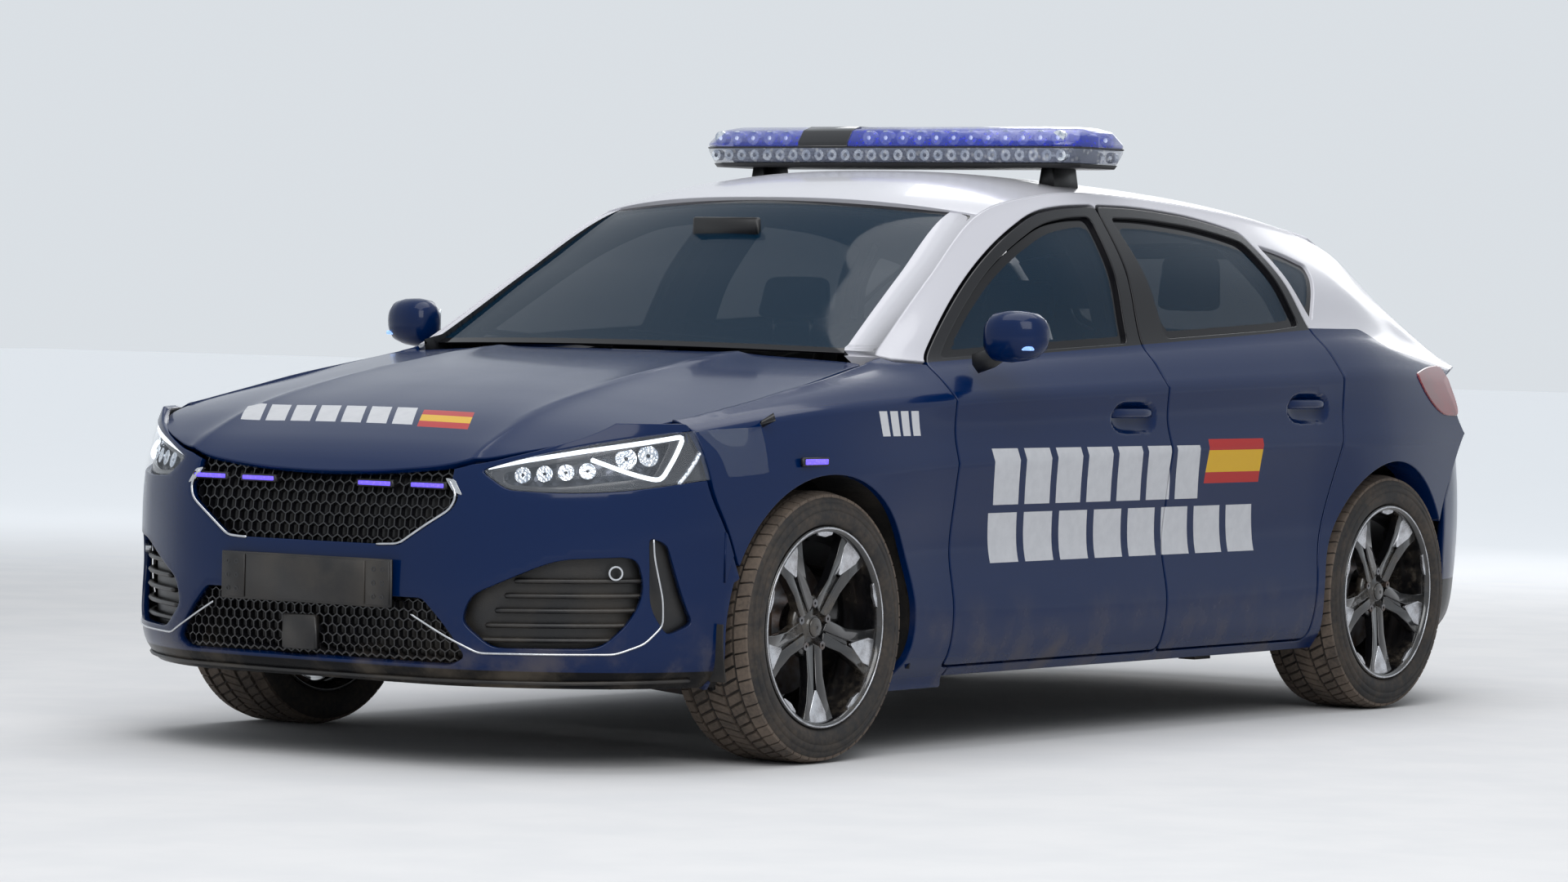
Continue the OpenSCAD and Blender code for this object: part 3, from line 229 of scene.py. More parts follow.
def slab(name, surface, grid, keep, drop=(), depth=(0, 20), roll=3, lean=(0, 0), turn=1, mirrored=False,
         materials=(), spacing=7):
    """A closed panel over a surface: inside the keep outlines, outside the drop outlines, with rolled edges.
    Depth says where its outer and inner faces lie below the surface; lean tilts its edges with depth."""
    cuts = [grown(loop, -roll) for loop in keep] + [grown(loop, roll) for loop in drop]
    points, edges = [], []
    for loop in cuts:
        first = len(points)
        points += [tuple(q) for q in loop]
        edges += [(first + k, first + (k + 1) % len(loop)) for k in range(len(loop))]
    tree = kdtree.KDTree(len(points))
    for index, q in enumerate(points):
        tree.insert((q[0], q[1], 0), index)
    tree.balance()
    wanted = np.ones(len(grid), bool)
    for k, loop in enumerate(cuts):
        wanted &= inside(loop, grid) == (k < len(keep))
    points += [tuple(q) for q in grid[wanted] if tree.find((q[0], q[1], 0))[2] > spacing]
    flat, _, faces, _, _, _ = delaunay_2d_cdt([Vector(q) for q in points], edges, [], 0, 1e-4)
    flat = np.array([tuple(v) for v in flat])
    faces = np.array(faces)
    corners = flat[faces]
    middle = corners.mean(1)
    kept = np.ones(len(faces), bool)
    for k, loop in enumerate(cuts):
        kept &= inside(loop, middle) == (k < len(keep))
    area = np.abs(np.cross(corners[:, 1] - corners[:, 0], corners[:, 2] - corners[:, 0]))
    faces = faces[kept & (area > 0.02)]
    used = np.unique(faces)
    renumber = np.full(len(flat), -1)
    renumber[used] = np.arange(len(used))
    flat, faces = flat[used], renumber[faces]
    count = len(flat)
    sides = {(a, b) for f in faces for a, b in zip(f, np.roll(f, -1))}
    following = {a: b for a, b in sides if (b, a) not in sides}
    rims = []
    while following:
        chain = [min(following)]
        while chain[-1] in following:
            chain.append(following.pop(chain[-1]))
        rims.append(np.array(chain[:-1]))
    outer, inner = [d if callable(d) else (lambda q, d=d: np.full(len(q), float(d))) for d in depth]
    lean = np.array(lean, float)

    def skin(q):
        return surface(q) - normals_of(surface, q) * turn * outer(q)[:, None]

    def at(q, below):
        q = q + lean * below[:, None]
        normal = normals_of(surface, q) * turn
        shown = normals_of(skin, q) * turn if callable(depth[0]) else normal
        return surface(q) - normal * below[:, None], shown

    top, top_normal = at(flat, outer(flat))
    under, under_normal = at(flat, inner(flat))
    place, normals = [top, under], [top_normal, -under_normal]
    quads = []
    angles = [math.pi / 2 * k / 3 for k in (1, 2, 3)] if roll > 1 else [math.pi / 2]
    total = 2 * count
    for rim in rims:
        away = outward(flat[rim])
        previous = rim
        base = outer(flat[rim])
        for angle in angles:
            ring, normal = at(flat[rim] + away * roll * math.sin(angle), base + roll * (1 - math.cos(angle)))
            side_way = at(flat[rim] + away * roll, base + roll)[0] - at(flat[rim], base + roll)[0]
            side_way /= np.linalg.norm(side_way, axis=1)[:, None] + 1e-9
            mixed = normal * math.cos(angle) + side_way * math.sin(angle)
            place.append(ring)
            normals.append(mixed / np.linalg.norm(mixed, axis=1)[:, None])
            index = np.arange(total, total + len(rim))
            total += len(rim)
            quads.append(np.column_stack([previous, index, np.roll(index, -1), np.roll(previous, -1)]))
            previous = index
        low = inner(flat[rim] + away * roll)
        edge_under = at(flat[rim] + away * roll, low)[0]
        under[rim] = edge_under
        quads.append(np.column_stack([previous, count + rim, count + np.roll(rim, -1),
                                      np.roll(previous, -1)]))
    place = np.vstack(place)
    normals = np.vstack(normals)
    if mirrored:
        place[:, 1] *= -1
        normals[:, 1] *= -1
    quads = np.vstack(quads)
    if turn > 0:
        quads = quads[:, ::-1]
        faces = faces[:, ::-1]
    if mirrored:
        faces, quads = faces[:, ::-1], quads[:, ::-1]
    mesh = bpy.data.meshes.new(name)
    all_faces = [tuple(map(int, f)) for rows in (faces, quads, faces[:, ::-1] + count) for f in rows]
    rim_start = len(faces)
    mesh.from_pydata((place * 0.001).tolist(), [], all_faces)
    for material in materials:
        mesh.materials.append(material)
    mesh.shade_smooth()
    mesh.update()
    border = kdtree.KDTree(sum(len(rim) for rim in rims))
    for rim in rims:
        for v in rim:
            border.insert((*flat[v], 0), int(v))
    border.balance()
    reach = np.zeros(len(place))
    reach[:count] = reach[count:2 * count] = [border.find((*q, 0))[2] for q in flat]
    mesh.attributes.new("border", "FLOAT", "POINT").data.foreach_set("value", reach)
    loops = np.array([v for f in all_faces for v in f])
    custom = normals[loops]
    sizes = np.array([len(f) for f in all_faces])
    owner = np.repeat(np.arange(len(sizes)), sizes)
    back_rim = np.zeros(total, bool)
    for rim in rims:
        back_rim[count + rim] = True
    shallow = (owner >= rim_start) & (owner < rim_start + len(quads)) & back_rim[loops]
    for k in np.flatnonzero(shallow):
        first, second, third = place[list(all_faces[owner[k]][:3])]
        n = np.cross(second - first, third - first)
        custom[k] = n / (np.linalg.norm(n) + 1e-9)
    if not mesh.validate():
        mesh.normals_split_custom_set(custom.tolist())
    if len(materials) > 1:
        index = np.zeros(len(all_faces), np.int32)
        index[rim_start + len(quads):] = 1
        mesh.polygons.foreach_set("material_index", index)
    return linked(name, mesh)


def maths(operation, swapped=False):
    """A method that joins a tone to another tone or a number by one Math node."""
    def join(tone, other):
        a, b = (other, tone) if swapped else (tone, other)
        return tone.node("Math", {"operation": operation}, {0: a, 1: b})
    return join


class Tone:
    """An output of a material's nodes. Sums, products and comparisons of tones add Math nodes."""

    def __init__(self, tree, output):
        self.tree, self.output = tree, output

    def node(self, kind, settings=None, sockets=None, output=0):
        made = self.tree.nodes.new("ShaderNode" + kind)
        for name, value in (settings or {}).items():
            if name == "stops":
                ramp = made.color_ramp
                while len(ramp.elements) < len(value):
                    ramp.elements.new(0.5)
                for element, (position, colour) in zip(ramp.elements, value):
                    element.position, element.color = position, (*colour, 1)
            else:
                setattr(made, name, value)
        for name, value in (sockets or {}).items():
            if isinstance(value, Tone):
                self.tree.links.new(value.output, made.inputs[name])
            else:
                made.inputs[name].default_value = value
        return Tone(self.tree, made.outputs[output])

    __add__ = __radd__ = maths("ADD")
    __mul__ = __rmul__ = maths("MULTIPLY")
    __sub__, __rsub__ = maths("SUBTRACT"), maths("SUBTRACT", True)
    __truediv__, __mod__ = maths("DIVIDE"), maths("FLOORED_MODULO")
    __gt__, __lt__ = maths("GREATER_THAN"), maths("LESS_THAN")
    least, most = maths("MINIMUM"), maths("MAXIMUM")

    def ease(self, low, high, to_low=0.0, to_high=1.0):
        """The tone's way from low to high, clamped, as a number from to_low to to_high."""
        return self.node("MapRange", {"interpolation_type": "SMOOTHSTEP"},
                         {0: self, 1: low, 2: high, 3: to_low, 4: to_high})

    def part(self, axis):
        return self.node("SeparateXYZ", None, {0: self}, "XYZ".index(axis))

    def noise(self, scale, detail=3.0, roughness=0.55, stretch=(1, 1, 1)):
        moved = self.node("Mapping", None, {0: self, 3: stretch})
        return self.node("TexNoise", None, {"Vector": moved, "Scale": scale, "Detail": detail,
                                            "Roughness": roughness})

    def cells(self, scale, feature="F1", stretch=(1, 1, 1)):
        moved = self.node("Mapping", None, {0: self, 3: stretch})
        return self.node("TexVoronoi", {"feature": feature}, {"Vector": moved, "Scale": scale})

    def dye(self, mask, first, second):
        """The first colour where the mask is 0 and the second where it is 1."""
        colours = [(*c, 1) if isinstance(c, tuple) else c for c in (first, second)]
        return self.node("Mix", {"data_type": "RGBA"}, {0: mask, 6: colours[0], 7: colours[1]}, 2)


def finish(name, recipe, **uniform):
    """A material. The recipe gets the Object coordinates and gives what varies over the surface."""
    material = bpy.data.materials.new(name)
    material.use_nodes = True
    tree = material.node_tree
    tree.nodes.clear()
    shader = tree.nodes.new("ShaderNodeBsdfPrincipled")
    result = tree.nodes.new("ShaderNodeOutputMaterial")
    tree.links.new(shader.outputs[0], result.inputs[0])
    place = Tone(tree, tree.nodes.new("ShaderNodeTexCoord").outputs["Object"])
    for key, value in uniform.items():
        shader.inputs[key.replace("_", " ").title().replace("Ior", "IOR")].default_value = value
    for key, value in recipe(place).items():
        if key == "Height":
            height, distance = value
            bump = place.node("Bump", None, {"Strength": 1.0, "Distance": distance, "Height": height})
            tree.links.new(bump.output, shader.inputs["Normal"])
        elif isinstance(value, Tone):
            tree.links.new(value.output, shader.inputs[key])
        else:
            shader.inputs[key].default_value = (*value, 1) if isinstance(value, tuple) else value
    return material


NAVY = (0.0, 0.0125, 0.066)
WHITE = (0.62, 0.62, 0.67)
BLACK = (0.006, 0.006, 0.008)
DUST = (0.17, 0.14, 0.105)
COAT = 0.36


def lacquer(place, colour, low_dust=0.5):
    """Sprayed paint under clear lacquer: faint orange peel, road film low on the body."""
    height = place.part("Z")
    film = place.noise(7.0, 5).ease(0.42, 0.75) * height.ease(0.42, 0.16) * low_dust
    blotch = place.noise(2.3, 4).ease(0.3, 0.7)
    return {"Base Color": place.dye(film, colour, DUST),
            "Roughness": blotch * 0.05 + 0.2 + film * 0.5,
            "Coat Weight": film * -COAT + COAT,
            "Height": (place.noise(330.0, 2), 0.00012)}


def side_paint(place):
    x, z = place.part("X"), place.part("Z")
    waist = x.ease(-1.34, -1.5) * -0.05 + (x + 1.46).least(0.0) * 0.13 + 1.048
    upper = (z > waist).most((x > -0.9) * (z > 0.93))
    return lacquer(place, place.dye(upper, NAVY, WHITE))


PAINT_GLOSS = {"coat_roughness": 0.09, "specular_ior_level": 0.08}
paint_sides = finish("two_tone_paint", side_paint, **PAINT_GLOSS)
paint_blue = finish("dark_blue_paint", lambda place: lacquer(place, NAVY), **PAINT_GLOSS)
paint_white = finish("white_paint", lambda place: lacquer(place, WHITE, 0), coat_roughness=0.04)


def moulded(colour, rough=0.5, scale=600.0, height=0.00015, dusty=0.25):
    """Moulded plastic or rubber with a fine grain, a little uneven in its sheen."""
    def recipe(place):
        patches = place.noise(6.0, 5).ease(0.35, 0.75)
        return {"Base Color": place.dye(patches * dusty * place.part("Z").ease(0.9, 0.2), colour, DUST),
                "Roughness": patches * 0.14 + (rough - 0.05),
                "Height": (place.cells(scale), height)}
    return recipe


inner_panel = finish("inner_panel_coating", moulded((0.012, 0.013, 0.016), 0.55, 240.0, 0.0001, 0.1))

door_front_line = curved([[800, 205], [800, 946], [778, 966], [600, 1085], [420, 1190], [250, 1272],
                          [60, 1338],
                          [-100, 1356], [-245, 1361], [-210, 1190], [-175, 1010], [-165, 930], [-175, 800],
                          [-188, 600], [-190, 205]], 22)
door_rear_line = curved([[-190, 205], [-188, 600], [-175, 800], [-165, 930], [-175, 1010], [-210, 1190],
                         [-245, 1361], [-450, 1361], [-700, 1345], [-850, 1325], [-965, 1303], [-1000, 1220],
                         [-1045, 1100], [-1062, 1040], [-1080, 930], [-1072, 800], [-1042, 690], [-1008, 600],
                         [-978, 500], [-958, 400], [-945, 205]], 22)
quarter_window = curved([[-1010, 1272], [-1120, 1256], [-1235, 1222], [-1222, 1195], [-1095, 1068],
                         [-1058, 1140]], 12, 6)
wing_shut = [[1780, 830], [1760, 735], [1745, 640], [1700, 560], [1650, 440]]
wing_line = [[760, 150], [760, 946], [905, 955], [960, 990], [1400, 990]] + wing_shut + [[1331, 323],
                                                                                         [1100, 150]]
tail_shut = [[-1600, 140], [-1640, 440], [-1690, 560], [-1760, 640], [-1828, 712], [-1880, 755], [-2300, 727],
             [-2300, 140]]
lamp_shut = [[-1800, 905], [-1835, 800], [-1880, 758], [-2300, 730], [-2300, 948], [-1960, 940]]
GAP = 3.0
HANDS = ((1, "left"), (-1, "right"))
FRONT_AXLE, REAR_AXLE, TYRE, ARCH = 1331, -1355, 323, 362
GATE_HINGE_X, GATE_HINGE_Z = -1452, 1388


def circle(x, z, r, count=150):
    a = np.linspace(0, 2 * math.pi, count, endpoint=False)
    return np.column_stack([x + r * np.cos(a), z + r * np.sin(a)])


def gate_half_width(reach):
    """The tailgate's half width at a distance from its hinge line."""
    table = np.array([[0, 548], [180, 534], [330, 556], [480, 590], [600, 630], [690, 640], [790, 628],
                      [870, 585], [960, 528], [1080, 500]])
    return np.interp(reach, table[:, 0], table[:, 1])


def gate_edge_on_side():
    """Where the side surface meets the tailgate's edge, from the roof down to the lamps."""
    points = []
    for z in np.arange(1385, 930, -7.0):
        x = np.arange(-2000, -1380, 2.0)
        y = side_y(x, z)
        reach = np.hypot(x - GATE_HINGE_X, z - GATE_HINGE_Z)
        open_part = y < gate_half_width(reach) + GAP
        if open_part.any():
            points.append([x[open_part].max(), z])
    return np.array(points)


gate_edge = gate_edge_on_side()
gate_cut = np.vstack([gate_edge, [[-2400, gate_edge[-1][1]], [-2400, 1500], [gate_edge[0][0], 1500]]])
gate_cut = curved(gate_cut, 5, 10)
side_points = side_grid()
x_line = np.arange(-1999, 1720, 12.0)
top_edge = rail_at(x_line)
side_border = np.vstack([np.column_stack([x_line, side_section(x_line)[0][0] + 2]),
                         np.column_stack([x_line, top_edge[:, 2] - 0.5])[::-1]])
for s, hand in HANDS:
    shell_side = slab(
        f"body_side_skin_{hand}", side, side_points, [side_border],
        [grown(door_front_line, GAP), grown(door_rear_line, GAP), grown(curved(wing_line, 8), GAP),
         grown(curved(tail_shut, 15), GAP), grown(curved(lamp_shut, 15), GAP), quarter_window,
         circle(FRONT_AXLE, TYRE, 390), circle(REAR_AXLE, TYRE, ARCH), gate_cut],
        (0, 70), 3, (0.46, 0), mirrored=s < 0, materials=(paint_sides, inner_panel))
    fitted(shell_side, "body", f"body_side_{hand}", "blue_paint")
    for part, line, low, high in (
            ("pillar_foot", [[-270, 190], [-270, 1070], [-120, 1070], [-120, 190]], 88, 133),
            ("pillar_head", [[-290, 1022], [-300, 1380], [-180, 1380], [-138, 1022]], 50, 108),
            ("hinge_pillar", [[806, 178], [806, 925], [930, 930], [930, 178]], 30, 82),
            ("sill_box", [[-1000, 180], [-1000, 238], [960, 238], [960, 180]], 60, 110)):
        fitted(slab(f"{part}_{hand}", side, side_points, [curved(line, 12)], [], (low, high), 3,
                    mirrored=s < 0, materials=(inner_panel,)))

# ---- Doors ----
# Four hinged doors: a pressed outer skin with two creases, a thinner gloss-black frame round the window,
# a recessed pull handle, and a soft moulded card on the inside. Reflective films are stuck on the skin.
FILM = (0.62, 0.63, 0.66)
RED, YELLOW = (0.45, 0.012, 0.01), (0.72, 0.42, 0.008)


def slanted_blocks(place, start, end, low, high, count, axis="X", rise="Z", slant=0.18, share=0.74):
    """A row of slanted reflective blocks from start to end, between two heights."""
    across, up = place.part(axis), place.part(rise)
    shifted = (across - up * slant) + (low + high) / 2 * slant
    way = (shifted - start) * (count / (end - start))
    step = way % 1.0
    inside_row = (way > 0.0) * (way < float(count)) * (up > low) * (up < high)
    return inside_row * (step < share)


def film_wear(place):
    """How whole a stuck film is; it has worn a little in spots."""
    return place.noise(40.0, 4).ease(0.2, 0.8, 0.9, 1.0)


def door_paint(place):
    x, z = place.part("X"), place.part("Z")
    frame_part = z > (0.725 - x) * 0.0511 + 0.953
    words = slanted_blocks(place, 0.638, -0.356, 0.600, 0.740, 7, share=0.8).most(
        slanted_blocks(place, 0.630, -0.663, 0.456, 0.580, 8, share=0.8))
    flag = (x < -0.362) * (x > -0.640) * (z > 0.639) * (z < 0.755)
    stripe = place.dye((z > 0.668) * (z < 0.726), RED, YELLOW)
    painted = place.dye(words * film_wear(place), NAVY, FILM)
    painted = place.dye(flag, painted, stripe)
    return lacquer(place, place.dye(frame_part, painted, BLACK))


paint_door = finish("door_paint_with_films", door_paint, **PAINT_GLOSS)
door_card = finish("door_card_plastic", moulded((0.014, 0.014, 0.016), 0.6, 420.0, 0.0002, 0.05))


def glazing(place):
    edge = place.node("Attribute", {"attribute_name": "border"}, None, 2)
    band_mask = 1 - edge.ease(18.0, 20.0)
    smear = place.noise(5.0, 4).ease(0.45, 0.8)
    return {"Base Color": place.dye(band_mask, (0.001, 0.022, 0.05), BLACK),
            "Alpha": band_mask * 0.42 + 0.58, "Roughness": smear * 0.05 + 0.03}


tinted = finish("tinted_glass", glazing, ior=1.5, specular_ior_level=0.2)
rubber = finish("seal_rubber", moulded((0.008, 0.008, 0.009), 0.55, 500.0, 0.0001, 0.1))


def cup(x, z):
    """A shallow oval recess for the fingers behind a door handle."""
    return lambda q: 17 * np.clip(1 - ((q[:, 0] - x) / 104) ** 4 - ((q[:, 1] - z) / 40) ** 2, 0, 1) ** 0.5


def sweep(name, path, radius, sides=12, material=None, flat=1.0, closed=False):
    """A round or flattened bar along a path of points, with closed rounded ends."""
    path = np.array(path, float)
    radii = np.broadcast_to(np.asarray(radius, float), (len(path),)).copy()
    ahead = np.roll(path, -1, 0) - np.roll(path, 1, 0) if closed else np.gradient(path, axis=0)
    ahead /= np.linalg.norm(ahead, axis=1)[:, None]
    up = np.array([0, 0, 1.0])
    if abs(ahead[:, 2]).max() > 0.9:
        up = np.array([1.0, 0, 0])
    across = np.cross(up, ahead)
    across /= np.linalg.norm(across, axis=1)[:, None]
    lift = np.cross(ahead, across)
    a = np.linspace(0, 2 * math.pi, sides, endpoint=False)
    rings = [path[i] + radii[i] * (np.outer(np.cos(a), across[i]) + np.outer(np.sin(a), lift[i]) * flat)
             for i in range(len(path))]
    points = np.vstack(rings)
    faces, n = [], len(path)
    for i in range(n if closed else n - 1):
        for k in range(sides):
            b, c = (i + 1) % n, (k + 1) % sides
            faces.append((i * sides + k, i * sides + c, b * sides + c, b * sides + k))
    if not closed:
        for end, sign in ((0, -1), (n - 1, 1)):
            ring = list(range(end * sides, end * sides + sides))
            tip = len(points)
            points = np.vstack([points, path[end] + sign * ahead[end] * radii[end] * 0.5])
            faces += [(ring[k], ring[(k + 1) % sides], tip) if sign > 0 else (ring[(k + 1) % sides], ring[k],
                                                                              tip)
                      for k in range(sides)]
    mesh = bpy.data.meshes.new(name)
    mesh.from_pydata((points * 0.001).tolist(), [], faces)
    mesh.materials.append(material)
    mesh.shade_smooth()
    return linked(name, mesh)


def door_depth(q):
    return np.interp(q[:, 1], [985, 1015], [75, 42])


front_window = [[725, 962], [590, 1055], [420, 1158], [250, 1241], [60, 1308], [-90, 1327], [-185, 1330],
                [-150, 1180], [-112, 1003], [300, 984]]
rear_window = [[-300, 1016], [-285, 1330], [-450, 1331], [-700, 1315], [-850, 1294], [-930, 1277],
               [-965, 1200], [-1012, 1056], [-880, 1044]]
for end, line, window, grip in (("front", door_front_line, front_window, (-10, 812)),
                                ("rear", door_rear_line, rear_window, (-890, 832))):
    pane = curved(window, 22, 9)
    near_grip = plain_grid((grip[0] - 120, grip[1] - 50), (grip[0] + 120, grip[1] + 50), 7)
    apart = (np.abs(side_points[:, 0] - grip[0]) > 124) | (np.abs(side_points[:, 1] - grip[1]) > 54)
    door_grid = np.vstack([side_points[apart], near_grip])
    arch = [circle(REAR_AXLE, TYRE, 386)] if end == "rear" else []
    for s, hand in HANDS:
        door_body = f"{end}_door_{hand}"
        door = slab(f"door_{end}_{hand}_shell", side, door_grid, [grown(line, -GAP)], [pane] + arch,
                    (cup(*grip), door_depth), 3, (0.46, 0), mirrored=s < 0, spacing=3.6,
                    materials=(paint_door, door_card))
        fitted(door, door_body, f"door_{end}_{hand}", "blue_paint")
        glass = slab(f"door_{end}_{hand}_window", side, side_points, [grown(pane, -1.0)], [], (11, 16), 1,
                     mirrored=s < 0, materials=(tinted,))
        fitted(glass, door_body, f"door_glass_{end}_{hand}", "tinted_glass")
        bar_x = np.linspace(-92, 92, 15)
        bar = np.column_stack([grip[0] + bar_x, side_y(grip[0] + bar_x, np.full(15, grip[1] + 12.0))
                               - 1 - 11 * (bar_x / 92) ** 4, np.full(15, grip[1] + 12.0)])
        fitted(sweep(f"door_{end}_{hand}_handle", bar * [1, s, 1], 8.5, 14, paint_blue, 1.5), door_body)

# ---- Roof and windscreen ----
# The roof is one white steel panel welded between the rails; the windscreen and the small rear quarter
# windows are glass bonded to their frames, with a black printed border.
screen_bow = [[306, 104, 34], [600, 108, 22], [919, 104, 10]]
roof_bow = [[-1460, -10, 80], [-1300, 0, 72], [-900, 0, 60], [-300, 0, 50], [0, 30, 58], [306, 104, 40]]


def hung(table, power):
    """A surface between the two rails over points [x, share of the half width in half metres]."""
    table = np.array(table, float)

    def surface(p):
        share = 1 - np.abs(p[:, 1] / 600) ** power
        end = rail_at(p[:, 0])
        return np.column_stack([end[:, 0] + along(table[:, 0], table[:, 1], p[:, 0]) * share,
                                end[:, 1] * p[:, 1] / 600,
                                end[:, 2] + along(table[:, 0], table[:, 2], p[:, 0]) * share])
    return surface


roof_surface, screen_surface = hung(roof_bow, 2.6), hung(screen_bow, 2)
roof_skin = slab("roof_skin", roof_surface, plain_grid((-1460, -600), (306, 600), 22),
                 [curved([[304, -599], [304, 599], [-1447, 599], [-1447, -599]], 3, 16)], [], (0, 28), 2,
                 turn=-1, materials=(paint_white, inner_panel))
fitted(roof_skin, "body", "roof_panel", "white_paint")
screen = slab("windscreen_glass", screen_surface, plain_grid((306, -600), (919, 600), 20),
              [curved([[309, -592], [309, 592], [919, 590], [919, -590]], 18, 14)], [], (1, 6), 1, turn=-1,
              materials=(tinted,))
fitted(screen, "body", "windscreen", "tinted_glass")
for s, hand in HANDS:
    quarter = slab(f"quarter_window_{hand}", side, side_points, [grown(quarter_window, -1)], [], (9, 14), 1,
                   mirrored=s < 0, materials=(tinted,))
    fitted(quarter, "body", "quarter_glass" if s > 0 else None, "tinted_glass")

# ---- Bonnet and front wings ----
# The bonnet is a hinged pressing with two raised lines; it closes on the wings, which are bolted on
# and carry the front half of the upper crease and the wheel arch lip.
bonnet_middle = np.array([[950, 972], [1100, 962], [1300, 940], [1500, 910], [1700, 872], [1900, 820],
                          [2050, 758], [2120, 716], [2175, 668]], float)
bonnet_drop = np.array([[950, 26], [1331, 52], [1600, 54], [1900, 42], [2100, 34], [2175, 30]], float)
bonnet_half = [[2168, 0], [2160, 200], [2136, 380], [2098, 480], [2030, 590], [1960, 668], [1870, 722],
               [1740, 752],
               [1500, 768], [1331, 766], [1150, 752], [985, 726], [978, 690], [1000, 540], [1020, 360],
               [1032, 180], [1036, 0]]
bonnet_line = curved(bonnet_half + [[x, -y] for x, y in bonnet_half[-2:0:-1]], 16)


def bonnet_z(x, y):
    share = np.abs(y) / 760
    ridge = np.abs(y) - 430 + (2100 - x) * 0.05
    ridge_line = np.where(ridge < 0, 8 * np.exp(ridge / 60), 8 * np.exp(-ridge / 26))
    return (along(bonnet_middle[:, 0], bonnet_middle[:, 1], x)
            - along(bonnet_drop[:, 0], bonnet_drop[:, 1], x) * share**2.4 + ridge_line - 1)


def bonnet_surface(p):
    return np.column_stack([p[:, 0], p[:, 1], bonnet_z(p[:, 0], p[:, 1])])


def bonnet_paint(place):
    x = place.part("X")
    words = slanted_blocks(place, -0.426, 0.125, 1.887, 1.985, 7, "Y", "X", 0.65, 0.78)
    flag = slanted_blocks(place, 0.132, 0.285, 1.897, 1.992, 1, "Y", "X", 0.6, 1.1)
    stripe = place.dye((x > 1.927) * (x < 1.962), RED, YELLOW)
    return lacquer(place, place.dye(flag, place.dye(words * film_wear(place), NAVY, FILM), stripe))


bonnet = slab("bonnet_skin", bonnet_surface, plain_grid((930, -790), (2180, 790), 16),
              [grown(bonnet_line, -GAP)], [], (0, 20), 3, (-0.3, 0), -1,
              materials=(finish("bonnet_paint_with_films", bonnet_paint, **PAINT_GLOSS), inner_panel))
fitted(bonnet, "bonnet", "bonnet", "blue_paint")


def wing_top():
    """Where the side surface meets the edge of the bonnet, seen from the side."""
    points = []
    for x in np.arange(985, 1800, 10.0):
        low, high = side_section(x)[0][8], side_section(x)[0][-1]
        z = np.arange(float(low), float(high), 1.0)
        edge = inside(grown(bonnet_line, GAP), pairs(x, side_y(x, z)))
        points.append([x, float(z[edge].min()) if edge.any() else float(high) - 0.5])
    return np.array(points)


paint_wing = finish("wing_paint_with_film", lambda place: lacquer(place, place.dye(
    slanted_blocks(place, 1.128, 0.948, 0.774, 0.834, 4, share=0.72), NAVY, FILM)),
    **PAINT_GLOSS)
crest = wing_top()
above_wing = np.vstack([crest, [[crest[-1][0], 1100], [700, 1100], [700, crest[0][1] + 60],
                                [crest[0][0] - 5, crest[0][1] + 2]]])
for s, hand in HANDS:
    wing = slab(f"front_wing_{hand}", side, side_points, [grown(curved(wing_line, 8), -GAP)],
                [grown(door_front_line, GAP), curved(above_wing, 4, 10), circle(FRONT_AXLE, TYRE, ARCH)],
                (0, 18), 3, mirrored=s < 0, materials=(paint_wing, inner_panel))
    fitted(wing, "body", "front_wings" if s > 0 else None, "blue_paint")

# ---- Front bumper ----
# A moulded cover with openings for the grille, the low intake, the side intakes and two upright slots,
# painted in body colour, with an unpainted black lip and splitter below it.
nose_plan = np.array([[0, 2187, 0], [2, 2180, 220], [4, 2150, 430], [5.6, 2062, 610], [6.8, 1962, 730],
                      [7.7, 1860, 800], [8.6, 1740, 845], [9.4, 1640, 866], [10, 1560, 876]], float)
nose_back = np.array([[190, 60], [235, 14], [280, 2], [400, 0], [520, 6], [600, 16], [660, 32], [700, 52],
                      [760, 90], [810, 130]], float)
tail_plan = np.array([[0, -2199, 0], [2, -2192, 240], [4, -2160, 450], [5.6, -2098, 610], [6.8, -2015, 720],
                      [7.7, -1925, 790], [8.6, -1820, 840], [9.4, -1720, 868], [10, -1620, 886]], float)
tail_back = np.array([[200, 120], [260, 70], [330, 22], [400, 4], [500, 0], [590, 8], [660, 45], [740, 82],
                      [860, 96], [930, 100], [965, 108]], float)


class EndSkin:
    """The nose or the tail, over points [way round the plan, height]."""

    def __init__(self, plan, back, sign):
        self.plan, self.back, self.sign = plan, back, sign
        self.t = np.linspace(0, 10, 401)
        x, y = along(plan[:, 0], plan[:, 1], self.t), along(plan[:, 0], plan[:, 2], self.t)
        self.way = np.concatenate([[0], np.cumsum(np.hypot(np.diff(x), np.diff(y)))])
        heights = np.arange(100, 1101, 4.0)
        self.heights = heights
        self.spread = side_y(plan[8, 1], heights) / plan[8, 2]

    def __call__(self, p):
        w, z = np.abs(p[:, 0]), p[:, 1]
        t = np.interp(w, self.way, self.t) + np.maximum(w - self.way[-1], 0) / 150
        back = along(self.back[:, 0], self.back[:, 1], z)
        spread = np.interp(z, self.heights, self.spread)
        x = along(self.plan[:, 0], self.plan[:, 1], t) - self.sign * back * (1 - t / 10)
        y = along(self.plan[:, 0], self.plan[:, 2], t) * (1 + (spread - 1) * np.minimum(1, t / 6))
        return np.column_stack([x, y * np.where(p[:, 0] < 0, -1, 1), z])

    def laid(self, outline, axis):
        """An outline of [y, z] or [x, z] points laid on the skin."""
        result = []
        w = np.linspace(0, self.way[-1], 700)
        for value, z in np.asarray(outline, float):
            points = self(pairs(w, z))
            if axis == "y":
                result.append([math.copysign(np.interp(abs(value), points[:, 1], w), value), z])
            else:
                rising = slice(None, None, -self.sign)
                result.append([np.interp(value, points[rising, 0], w[rising]), z])
        return np.array(result)


